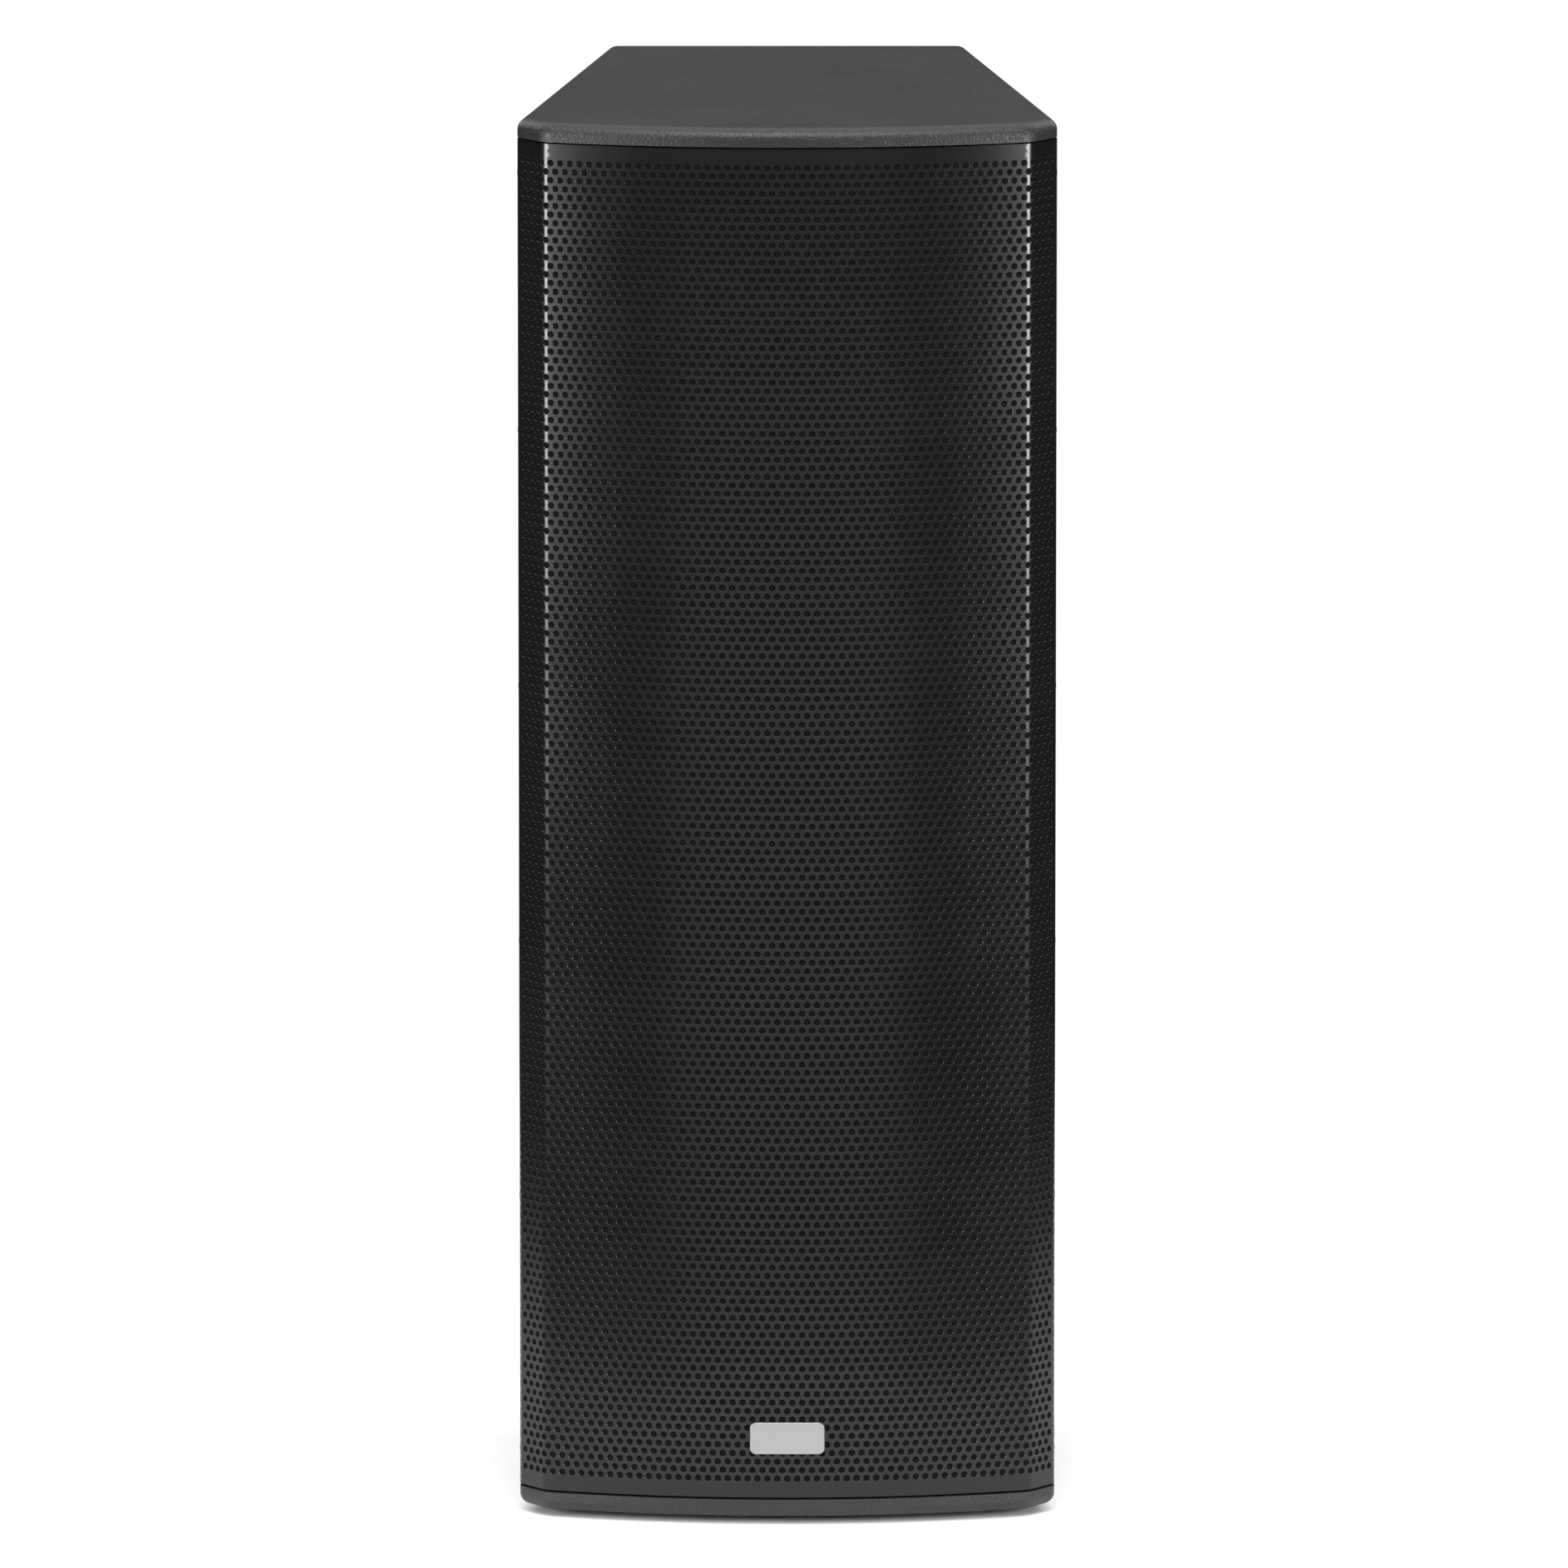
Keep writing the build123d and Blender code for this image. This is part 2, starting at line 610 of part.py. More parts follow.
foot_plane = Plane((0, 0, FOOT_RECESS), (1, 0, 0), (0, 0, -1))
mirrored_feet = [(x, -y) for x, y in foot_places()]
screws("foot_screws", foot_plane, mirrored_feet, SCREW_4, HEAD_4, BOARD)


# ---------------------------------------------------------------- woofers
def woofer_frame(name, z):
    """Cast frame: rim and ledge on the baffle, windowed basket and a neck for the magnet."""
    outline = [
        (WOOFER_RADIUS, -RIM_THICK),
        (WOOFER_RADIUS, 0),
        (BASKET_RADIUS, 0),
        (BASKET_RADIUS, BASKET_SHOULDER),
        (SPIDER_RADIUS + 2 * BASKET_SHEET, SPIDER_SEAT + BASKET_SHEET),
        (NECK_RADIUS, SPIDER_SEAT + BASKET_SHEET),
        (NECK_RADIUS, BASKET_BACK),
        (GAP_OUTER, BASKET_BACK),
        (GAP_OUTER, BASKET_BACK - BASKET_SHEET),
        (NECK_RADIUS - BASKET_SHEET, BASKET_BACK - BASKET_SHEET),
        (NECK_RADIUS - BASKET_SHEET, SPIDER_SEAT),
        (SPIDER_RADIUS + BASKET_SHEET, SPIDER_SEAT),
        (BASKET_RADIUS - BASKET_SHEET, BASKET_SHOULDER),
        (BASKET_RADIUS - BASKET_SHEET, LEDGE_SHEET - LEDGE_THICK),
        (LEDGE_INNER, LEDGE_SHEET - LEDGE_THICK),
        (LEDGE_INNER, -LEDGE_THICK),
        (RIM_INNER, -LEDGE_THICK),
        (RIM_INNER, -RIM_THICK),
    ]
    window_start = SPIDER_RADIUS + WINDOW_INSET
    window_end = BASKET_RADIUS - WINDOW_INSET
    with BuildPart() as frame:
        with BuildSketch(Plane((0, BAFFLE_Y, z))):
            with BuildLine():
                Polyline(*outline, close=True)
            make_face()
        revolve(axis=Axis((0, BAFFLE_Y, z), (0, 1, 0)))
        with BuildSketch(BAFFLE_PLANE.offset(-BASKET_SHOULDER)):
            with Locations((0, z)):
                with PolarLocations(0, WINDOWS):
                    Polygon(
                        (window_start, -WINDOW_INNER_HALF),
                        (window_end, -WINDOW_OUTER_HALF),
                        (window_end, WINDOW_OUTER_HALF),
                        (window_start, WINDOW_INNER_HALF),
                        align=None,
                    )
        extrude(amount=BASKET_SHOULDER - SPIDER_SEAT, mode=Mode.SUBTRACT)
        with BuildSketch(BAFFLE_PLANE):
            with Locations(*woofer_screw_places(z)):
                Circle(SCREW_5 + SCREW_ROOM)
        extrude(amount=RIM_THICK, mode=Mode.SUBTRACT)
    save(frame, name)


def surround_outline():
    """Sketch of the surround's section: two flats joined by a half roll."""
    low, high = ROLL_RADIUS, ROLL_RADIUS + ROLL_SHEET
    under, over = -LEDGE_THICK, -LEDGE_THICK - ROLL_SHEET
    inner = CONE_BREAK + CONE_LIP_LAP
    outer = RIM_INNER - FIT
    middle = ROLL_MIDDLE
    with BuildSketch() as section:
        with BuildLine():
            Line((inner, under), (middle - low, under))
            ThreePointArc((middle - low, under), (middle, under - low), (middle + low, under))
            Polyline((middle + low, under), (outer, under), (outer, over), (middle + high, over))
            ThreePointArc((middle + high, over), (middle, over - low), (middle - high, over))
            Polyline((middle - high, over), (inner, over), (inner, under))
        make_face()
    return section.sketch


def spider_points():
    """Corrugated section of the spider, from its seat to the voice coil."""
    flat = SPIDER_SEAT - SPIDER_SHEET
    step = (NECK_RADIUS - BASKET_SHEET - FORMER_OUTER) / (2 * SPIDER_WAVES + 1)
    front = [(FORMER_OUTER, flat)]
    for i in range(1, 2 * SPIDER_WAVES + 1):
        front.append((FORMER_OUTER + i * step, flat + (-1) ** i * SPIDER_WAVE))
    front.append((NECK_RADIUS - BASKET_SHEET, flat))
    front.append((SPIDER_RADIUS, flat))
    back = [(r, d + SPIDER_SHEET) for r, d in reversed(front)]
    return front + back


def cone_front(radius):
    """Depth of the cone's front face at a radius."""
    slope = (NECK_DEPTH + LEDGE_THICK) / (CONE_BREAK - FORMER_OUTER)
    return NECK_DEPTH - (radius - FORMER_OUTER) * slope


def revolved(name, section, z):
    """Turns a section, drawn as radius and depth, about a woofer's axis."""
    with BuildPart() as body:
        with BuildSketch(Plane((0, BAFFLE_Y, z))):
            add(section)
        revolve(axis=Axis((0, BAFFLE_Y, z), (0, 1, 0)))
    save(body, name)


def ball_radius(radius, rise):
    """Radius of the ball whose cap has a radius and a rise."""
    return (radius**2 + rise**2) / (2 * rise)


def dome_section(radius, edge, rise, grow, thick):
    """Half section of a dome that bulges forward from a depth, or of its grown ball."""
    ball = ball_radius(radius, rise)
    with BuildSketch() as section:
        with Locations((0, edge - rise + ball)):
            Circle(ball + grow)
            if thick:
                Circle(ball + grow - thick, mode=Mode.SUBTRACT)
        with Locations((0, edge)):
            Rectangle(2 * radius, 2 * rise, align=(Align.MIN, Align.MAX), mode=Mode.INTERSECT)
    return section.sketch


def woofer(prefix, z):
    """All the pieces of one woofer."""
    place = (0, z)
    plate_back = BASKET_BACK + PLATE_THICK
    magnet_back = plate_back + MAGNET_THICK
    yoke_back = magnet_back + PLATE_THICK
    woofer_frame(f"{prefix}_woofer_frame", z)
    revolved(f"{prefix}_woofer_surround", surround_outline(), z)
    cap = dome_section(CAP_RADIUS, cone_front(CAP_RADIUS), CAP_RISE, 0, CAP_SHEET)
    revolved(f"{prefix}_woofer_dust_cap", cap, z)
    gasket = ring_outline(
        LEDGE_INNER + ROLL_SHEET + FIT,
        RIM_INNER - FIT,
        -LEDGE_THICK - ROLL_SHEET - GASKET_THICK,
        -LEDGE_THICK - ROLL_SHEET,
    )
    turned(f"{prefix}_woofer_gasket", gasket, place)
    cone = [
        (CONE_RADIUS, -LEDGE_THICK),
        (CONE_RADIUS, CONE_SHEET - LEDGE_THICK),
        (CONE_BREAK, CONE_SHEET - LEDGE_THICK),
        (FORMER_OUTER, NECK_DEPTH + CONE_SHEET),
        (FORMER_OUTER, NECK_DEPTH),
        (CONE_BREAK, -LEDGE_THICK),
    ]
    turned(f"{prefix}_woofer_cone", cone, place)
    turned(f"{prefix}_woofer_spider", spider_points(), place)
    coil = [
        (FORMER_INNER, NECK_DEPTH),
        (FORMER_OUTER, NECK_DEPTH),
        (FORMER_OUTER, WINDING_START),
        (WINDING_OUTER, WINDING_START),
        (WINDING_OUTER, WINDING_END),
        (FORMER_OUTER, WINDING_END),
        (FORMER_OUTER, FORMER_END),
        (FORMER_INNER, FORMER_END),
    ]
    turned(f"{prefix}_woofer_voice_coil", coil, place)
    top_plate = ring_outline(GAP_OUTER, PLATE_RADIUS, BASKET_BACK, plate_back)
    turned(f"{prefix}_woofer_top_plate", top_plate, place)
    magnet = ring_outline(MAGNET_BORE, MAGNET_RADIUS, plate_back, magnet_back)
    turned(f"{prefix}_woofer_magnet", magnet, place)
    yoke = [
        (POLE_VENT, BASKET_BACK),
        (GAP_INNER, BASKET_BACK),
        (GAP_INNER, magnet_back),
        (PLATE_RADIUS, magnet_back),
        (PLATE_RADIUS, yoke_back),
        (POLE_VENT, yoke_back),
    ]
    turned(f"{prefix}_woofer_yoke", yoke, place)
    rim_plane = BAFFLE_PLANE.offset(RIM_THICK)
    grip = RIM_THICK + BAFFLE_BOARD
    screws(f"{prefix}_woofer_screws", rim_plane, woofer_screw_places(z), SCREW_5, HEAD_5, grip)


woofer("upper", WOOFER_HIGH_Z)
woofer("lower", WOOFER_LOW_Z)

# ---------------------------------------------------------------- horn
MOUTH_WIDTH = HORN_WIDTH - 2 * HORN_LIP
MOUTH_HEIGHT = HORN_HEIGHT - 2 * HORN_LIP
DRIVER_PLACES = corners_of(DRIVER_BOLT_SPACING / 2, DRIVER_BOLT_SPACING / 2, (0, HORN_Z))


def horn_flare(wall):
    """The horn's flare, grown outwards by a wall."""
    rows = (
        (HORN_FLANGE, MOUTH_WIDTH, MOUTH_HEIGHT, HORN_CORNER),
        (-HORN_WAIST_DEPTH, HORN_WAIST[0], HORN_WAIST[1], HORN_CORNER),
        (-HORN_LENGTH, 2 * THROAT, 2 * THROAT, THROAT - FIT),
    )
    with BuildPart() as flare:
        for height, width, tall, corner in rows:
            with BuildSketch(BAFFLE_PLANE.offset(height)):
                with Locations((0, HORN_Z)):
                    RectangleRounded(width + 2 * wall, tall + 2 * wall, corner + wall)
        loft()
    return flare.part


flare_outside = horn_flare(HORN_WALL)
flare_inside = horn_flare(0)

with BuildPart() as horn:
    add(flare_outside)
    with BuildSketch(BAFFLE_PLANE):
        with Locations((0, HORN_Z)):
            RectangleRounded(HORN_WIDTH, HORN_HEIGHT, HORN_CORNER)
    extrude(amount=HORN_FLANGE)
    with BuildSketch(BAFFLE_PLANE.offset(-HORN_LENGTH)):
        with Locations((0, HORN_Z)):
            RectangleRounded(THROAT_FLANGE, THROAT_FLANGE, HORN_CORNER)
    extrude(amount=THROAT_FLANGE_THICK)
    add(flare_inside, mode=Mode.SUBTRACT)
    with BuildSketch(BAFFLE_PLANE.offset(HORN_FLANGE)):
        with Locations(*horn_screw_places()):
            Circle(SCREW_5 + SCREW_ROOM)
    extrude(amount=-HORN_FLANGE, mode=Mode.SUBTRACT)
    with BuildSketch(BAFFLE_PLANE.offset(-HORN_LENGTH)):
        with Locations(*DRIVER_PLACES):
            Circle(SCREW_5 + SCREW_ROOM)
    extrude(amount=THROAT_FLANGE_THICK, mode=Mode.SUBTRACT)
save(horn, "horn")

horn_screw_plane = BAFFLE_PLANE.offset(HORN_FLANGE)
horn_grip = HORN_FLANGE + BAFFLE_BOARD
screws("horn_screws", horn_screw_plane, horn_screw_places(), SCREW_5, HEAD_5, horn_grip)

# ---------------------------------------------------------------- compression driver
HORN_PLACE = (0, HORN_Z)
DRIVER_FACE = HORN_LENGTH + DRIVER_PLATE
MAGNET_FACE = DRIVER_FACE + DRIVER_MAGNET
DOME_EDGE = MAGNET_FACE + DIAPHRAGM_GAP

hollow = dome_section(DIAPHRAGM_RADIUS, DOME_EDGE, DIAPHRAGM_RISE, DIAPHRAGM_GAP, 0)

with BuildPart() as hf_front_plate:
    with BuildSketch(Plane((0, BAFFLE_Y, HORN_Z))):
        with BuildLine():
            Polyline(
                (THROAT, HORN_LENGTH),
                (DRIVER_RADIUS, HORN_LENGTH),
                (DRIVER_RADIUS, DRIVER_FACE),
                (DRIVER_POLE, DRIVER_FACE),
                (DRIVER_POLE, MAGNET_FACE),
                (THROAT, MAGNET_FACE),
                close=True,
            )
        make_face()
        add(hollow, mode=Mode.SUBTRACT)
    revolve(axis=Axis((0, BAFFLE_Y, HORN_Z), (0, 1, 0)))
    with BuildSketch(BAFFLE_PLANE.offset(-HORN_LENGTH)):
        with Locations(*DRIVER_PLACES):
            Circle(SCREW_5 + SCREW_ROOM)
    extrude(amount=-DRIVER_PLATE, mode=Mode.SUBTRACT)
save(hf_front_plate, "hf_front_plate")

driver_magnet = ring_outline(DRIVER_BORE, DRIVER_RADIUS, DRIVER_FACE, MAGNET_FACE)
turned("hf_magnet", driver_magnet, HORN_PLACE)

diaphragm_dome = dome_section(DIAPHRAGM_RADIUS, DOME_EDGE, DIAPHRAGM_RISE, 0, DIAPHRAGM_SHEET)

with BuildPart() as hf_diaphragm:
    with BuildSketch(Plane((0, BAFFLE_Y, HORN_Z))):
        add(diaphragm_dome)
        with BuildLine():
            Polyline(
                (DIAPHRAGM_COIL - DIAPHRAGM_SHEET, DOME_EDGE - DIAPHRAGM_COIL_LENGTH),
                (DIAPHRAGM_COIL, DOME_EDGE - DIAPHRAGM_COIL_LENGTH),
                (DIAPHRAGM_COIL, DOME_EDGE),
                (COVER_RADIUS - COVER_WALL - BLIND, DOME_EDGE),
                (COVER_RADIUS - COVER_WALL - BLIND, DOME_EDGE + DIAPHRAGM_SHEET),
                (DIAPHRAGM_RADIUS - DIAPHRAGM_SHEET, DOME_EDGE + DIAPHRAGM_SHEET),
                (DIAPHRAGM_RADIUS - DIAPHRAGM_SHEET, DOME_EDGE),
                (DIAPHRAGM_COIL - DIAPHRAGM_SHEET, DOME_EDGE),
                close=True,
            )
        make_face()
    revolve(axis=Axis((0, BAFFLE_Y, HORN_Z), (0, 1, 0)))
save(hf_diaphragm, "hf_diaphragm")

cover = [
    (0, MAGNET_FACE + COVER_THICK - COVER_WALL),
    (COVER_RADIUS - COVER_WALL, MAGNET_FACE + COVER_THICK - COVER_WALL),
    (COVER_RADIUS - COVER_WALL, MAGNET_FACE),
    (COVER_RADIUS, MAGNET_FACE),
    (COVER_RADIUS, MAGNET_FACE + COVER_THICK),
    (0, MAGNET_FACE + COVER_THICK),
]
turned("hf_back_cover", cover, HORN_PLACE)

driver_plane = BAFFLE_PLANE.offset(THROAT_FLANGE_THICK - HORN_LENGTH)
driver_grip = THROAT_FLANGE_THICK + DRIVER_PLATE - BLIND
screws("hf_bolts", driver_plane, DRIVER_PLACES, SCREW_5, HEAD_5, driver_grip)

# ---------------------------------------------------------------- ports
PORT_NAMES = ("lower_left_port", "lower_right_port", "upper_left_port", "upper_right_port")
port_outline = [
    (PORT_RADIUS + PORT_FLARE, -PORT_FLANGE_THICK),
    (PORT_FLANGE, -PORT_FLANGE_THICK),
    (PORT_FLANGE, 0),
    (PORT_OUTER, 0),
    (PORT_OUTER, PORT_LENGTH),
    (PORT_RADIUS, PORT_LENGTH),
    (PORT_RADIUS, PORT_FLARE),
]
for port_name, port_place in zip(PORT_NAMES, port_places()):
    turned(port_name, port_outline, port_place)


# ---------------------------------------------------------------- side handles
def handle_cup():
    """Pressed cup that drops into the side board and laps onto its face."""
    with BuildPart() as cup:
        with BuildSketch(SIDE_PLANE):
            with Locations((HANDLE_ALONG, HANDLE_Z)):
                RectangleRounded(HANDLE_LENGTH, HANDLE_TALL, HANDLE_CORNER)
        extrude(amount=-HANDLE_DEPTH)
        with BuildSketch(SIDE_PLANE):
            with Locations((HANDLE_ALONG, HANDLE_Z)):
                lap = 2 * HANDLE_LAP
                RectangleRounded(HANDLE_LENGTH + lap, HANDLE_TALL + lap, HANDLE_CORNER)
        extrude(amount=HANDLE_SHEET)
        with BuildSketch(SIDE_PLANE.offset(HANDLE_SHEET)):
            with Locations((HANDLE_ALONG, HANDLE_Z)):
                walls = 2 * HANDLE_SHEET
                inner_corner = HANDLE_CORNER - HANDLE_SHEET
                RectangleRounded(HANDLE_LENGTH - walls, HANDLE_TALL - walls, inner_corner)
        extrude(amount=-HANDLE_DEPTH, mode=Mode.SUBTRACT)
        with BuildSketch(SIDE_PLANE):
            with Locations(*handle_screw_places()):
                Circle(SCREW_4 + SCREW_ROOM)
        extrude(amount=HANDLE_SHEET, mode=Mode.SUBTRACT)
    return cup


def handle_bar():
    """Round bar between the ends of a handle cup."""
    end = HANDLE_ALONG - HANDLE_LENGTH / 2 + HANDLE_SHEET
    end_plane = Plane(SIDE_PLANE.from_local_coords((end, HANDLE_Z, -HANDLE_BAR_DEPTH)))
    with BuildPart() as bar:
        with BuildSketch(Plane(end_plane.origin, SIDE_PLANE.z_dir, SIDE_PLANE.x_dir)):
            Circle(HANDLE_BAR)
        extrude(amount=HANDLE_LENGTH - 2 * HANDLE_SHEET)
    return bar


right_cup = handle_cup()
save(right_cup, "right_handle_cup")
save_mirrored(right_cup, "left_handle_cup")
right_bar = handle_bar()
save(right_bar, "right_handle_bar")
save_mirrored(right_bar, "left_handle_bar")
handle_plane = SIDE_PLANE.offset(HANDLE_SHEET)
screws("handle_screws", handle_plane, handle_screw_places(), SCREW_4, HEAD_4, BOARD, True)

# ---------------------------------------------------------------- terminal dish
with BuildPart() as terminal_dish:
    with BuildSketch(REAR_PLANE):
        with Locations((0, DISH_Z)):
            RectangleRounded(DISH_WIDTH, DISH_TALL, DISH_CORNER)
    extrude(amount=-DISH_DEPTH - DISH_SHEET)
    with BuildSketch(REAR_PLANE):
        with Locations((0, DISH_Z)):
            RectangleRounded(DISH_WIDTH + 2 * DISH_LAP, DISH_TALL + 2 * DISH_LAP, DISH_CORNER)
    extrude(amount=DISH_SHEET)
    with BuildSketch(DISH_PLANE):
        with Locations((0, DISH_Z)):
            dish_walls = 2 * DISH_SHEET
            dish_inner = DISH_CORNER - DISH_SHEET
            RectangleRounded(DISH_WIDTH - dish_walls, DISH_TALL - dish_walls, dish_inner)
    extrude(amount=DISH_DEPTH + DISH_SHEET, mode=Mode.SUBTRACT)
    with BuildSketch(DISH_PLANE):
        with Locations((-SOCKET_X, DISH_Z), (0, DISH_Z)):
            Circle(SOCKET_RADIUS + FIT)
        with Locations((SOCKET_X, DISH_Z)):
            Circle(BUSH_RADIUS + FIT)
    extrude(amount=-DISH_SHEET, mode=Mode.SUBTRACT)
    with BuildSketch(REAR_PLANE):
        with Locations(*dish_screw_places()):
            Circle(SCREW_4 + SCREW_ROOM)
    extrude(amount=DISH_SHEET, mode=Mode.SUBTRACT)
save(terminal_dish, "terminal_dish")

dish_screw_plane = REAR_PLANE.offset(DISH_SHEET)
screws("terminal_screws", dish_screw_plane, dish_screw_places(), SCREW_4, HEAD_4, BOARD)


def speaker_socket(name, x):
    """A four-pole speaker socket: square plate, round body, open mouth and a keyed core."""
    with BuildPart() as socket:
        with BuildSketch(DISH_PLANE):
            with Locations((x, DISH_Z)):
                RectangleRounded(SOCKET_PLATE, SOCKET_PLATE, SOCKET_RISE)
        extrude(amount=SOCKET_RISE)
        with BuildSketch(DISH_PLANE):
            with Locations((x, DISH_Z)):
                Circle(SOCKET_RADIUS)
        extrude(amount=-SOCKET_BACK)
        with BuildSketch(DISH_PLANE.offset(SOCKET_RISE)):
            with Locations((x, DISH_Z)):
                Circle(SOCKET_MOUTH)
                Circle(SOCKET_CORE, mode=Mode.SUBTRACT)
        extrude(amount=-SOCKET_BACK, mode=Mode.SUBTRACT)
    save(socket, name)


speaker_socket("input_socket", -SOCKET_X)
speaker_socket("link_socket", 0)

# ---------------------------------------------------------------- mode switch
KNOB_PLANE = DISH_PLANE.offset(KNOB_GAP + BLIND)

with BuildPart() as mode_switch:
    with BuildSketch(DISH_PLANE.offset(-DISH_SHEET)):
        with Locations((SOCKET_X, DISH_Z)):
            Circle(SWITCH_RADIUS)
    extrude(amount=-SWITCH_BACK)
    with BuildSketch(DISH_PLANE.offset(BLIND)):
        with Locations((SOCKET_X, DISH_Z)):
            Circle(BUSH_RADIUS)
    extrude(amount=-DISH_SHEET - BLIND)
    with BuildSketch(KNOB_PLANE):
        with Locations((SOCKET_X, DISH_Z)):
            Circle(SHAFT_RADIUS)
    extrude(amount=SHAFT_LENGTH)
    with BuildSketch(KNOB_PLANE):
        with Locations((SOCKET_X, DISH_Z)):
            Circle(SHAFT_RADIUS)
    extrude(amount=-KNOB_GAP)
save(mode_switch, "mode_switch")

with BuildPart() as mode_knob:
    with BuildSketch(KNOB_PLANE):
        with Locations((SOCKET_X, DISH_Z)):
            Circle(KNOB_RADIUS)
    extrude(amount=KNOB_SKIRT)
    with BuildSketch(KNOB_PLANE):
        with Locations((SOCKET_X, DISH_Z)):
            SlotOverall(2 * KNOB_RADIUS, 2 * BUSH_RADIUS, rotation=90)
    extrude(amount=KNOB_TALL)
    with BuildSketch(KNOB_PLANE):
        with Locations((SOCKET_X, DISH_Z)):
            Circle(SHAFT_RADIUS + SHAFT_FIT)
    extrude(amount=SHAFT_LENGTH + SHAFT_FIT, mode=Mode.SUBTRACT)
save(mode_knob, "mode_knob")

# ---------------------------------------------------------------- crossover
with BuildPart() as crossover_board:
    with BuildSketch(Plane.XY.offset(FLOOR_Z + STANDOFF)):
        with Locations((0, CROSSOVER_Y)):
            Rectangle(CROSSOVER_WIDTH, CROSSOVER_LENGTH)
    extrude(amount=CROSSOVER_BOARD)
    with BuildSketch(Plane.XY.offset(FLOOR_Z)):
        inset = STANDOFF_INSET
        half_x = (CROSSOVER_WIDTH - inset) / 2
        half_y = (CROSSOVER_LENGTH - inset) / 2
        with Locations(*corners_of(half_x, half_y, (0, CROSSOVER_Y))):
            Circle(STANDOFF_RADIUS)
    extrude(amount=STANDOFF)
    with BuildSketch(Plane.XY.offset(FLOOR_Z + STANDOFF + CROSSOVER_BOARD)):
        coil_x, coil_y = COIL_X, COIL_Y
        with Locations(*corners_of(coil_x, coil_y, (0, CROSSOVER_Y))):
            Circle(COIL_OUTER)
            Circle(COIL_BORE, mode=Mode.SUBTRACT)
    extrude(amount=COIL_TALL)
save(crossover_board, "crossover_board")


# ---------------------------------------------------------------- rigging inserts
def insert_barrels(plane, places, depth):
    """Flanged threaded inserts let through a board from inside."""
    with BuildPart() as inserts:
        with BuildSketch(plane):
            with Locations(*places):
                Circle(INSERT_BARREL)
        extrude(amount=-depth)
        with BuildSketch(plane.offset(-depth)):
            with Locations(*places):
                Circle(INSERT_FLANGE)
        extrude(amount=-INSERT_FLANGE_THICK)
        with BuildSketch(plane):
            with Locations(*places):
                Circle(INSERT_BORE)
        extrude(amount=-depth - INSERT_FLANGE_THICK, mode=Mode.SUBTRACT)
    return inserts.part


side_inserts = insert_barrels(SIDE_PLANE, [(INSERT_ALONG, z) for z in INSERT_HEIGHTS], BOARD)
rear_inserts = insert_barrels(REAR_PLANE, [(0, INSERT_HEIGHTS[1])], BOARD)

with BuildPart() as rigging_inserts:
    add(side_inserts)
    mirror(about=Plane.YZ)
    add(rear_inserts)
save(rigging_inserts, "rigging_inserts")
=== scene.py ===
"""Visual model of a trapezoidal PA speaker cabinet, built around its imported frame.

Metres. +Z is up, the grille faces -Y and +X is to a listener's right.
"""

from __future__ import annotations

import json
import logging
import math
from dataclasses import dataclass, field
from enum import Enum
from typing import Any, Mapping, Sequence

import bpy  # noqa: E402
import numpy as np  # noqa: E402
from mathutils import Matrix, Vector  # noqa: E402

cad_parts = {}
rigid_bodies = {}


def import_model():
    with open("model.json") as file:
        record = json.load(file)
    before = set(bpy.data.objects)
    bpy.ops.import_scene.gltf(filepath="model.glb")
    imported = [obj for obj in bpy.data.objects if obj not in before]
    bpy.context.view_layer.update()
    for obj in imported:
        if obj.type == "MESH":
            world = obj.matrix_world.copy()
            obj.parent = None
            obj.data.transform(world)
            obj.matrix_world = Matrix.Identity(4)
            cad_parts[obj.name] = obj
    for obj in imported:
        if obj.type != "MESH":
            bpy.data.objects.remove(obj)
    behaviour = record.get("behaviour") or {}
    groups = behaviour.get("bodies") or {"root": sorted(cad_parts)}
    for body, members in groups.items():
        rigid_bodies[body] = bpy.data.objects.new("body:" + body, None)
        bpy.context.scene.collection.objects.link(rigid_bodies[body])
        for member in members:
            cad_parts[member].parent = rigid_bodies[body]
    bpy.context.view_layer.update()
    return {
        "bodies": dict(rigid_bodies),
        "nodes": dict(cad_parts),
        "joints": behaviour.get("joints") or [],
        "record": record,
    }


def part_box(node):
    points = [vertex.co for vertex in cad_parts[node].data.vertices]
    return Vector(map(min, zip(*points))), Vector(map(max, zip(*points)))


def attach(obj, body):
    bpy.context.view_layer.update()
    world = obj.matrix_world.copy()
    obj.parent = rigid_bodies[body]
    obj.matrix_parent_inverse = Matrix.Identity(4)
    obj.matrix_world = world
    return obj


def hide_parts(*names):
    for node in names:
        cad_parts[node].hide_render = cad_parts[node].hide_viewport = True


LOG = logging.getLogger("cabinet")
MM = 0.001
SAME_POINT = 0.01 * MM
TINY = 1e-12
WHITE = (1.0, 1.0, 1.0, 1.0)
Colour = tuple[float, float, float]


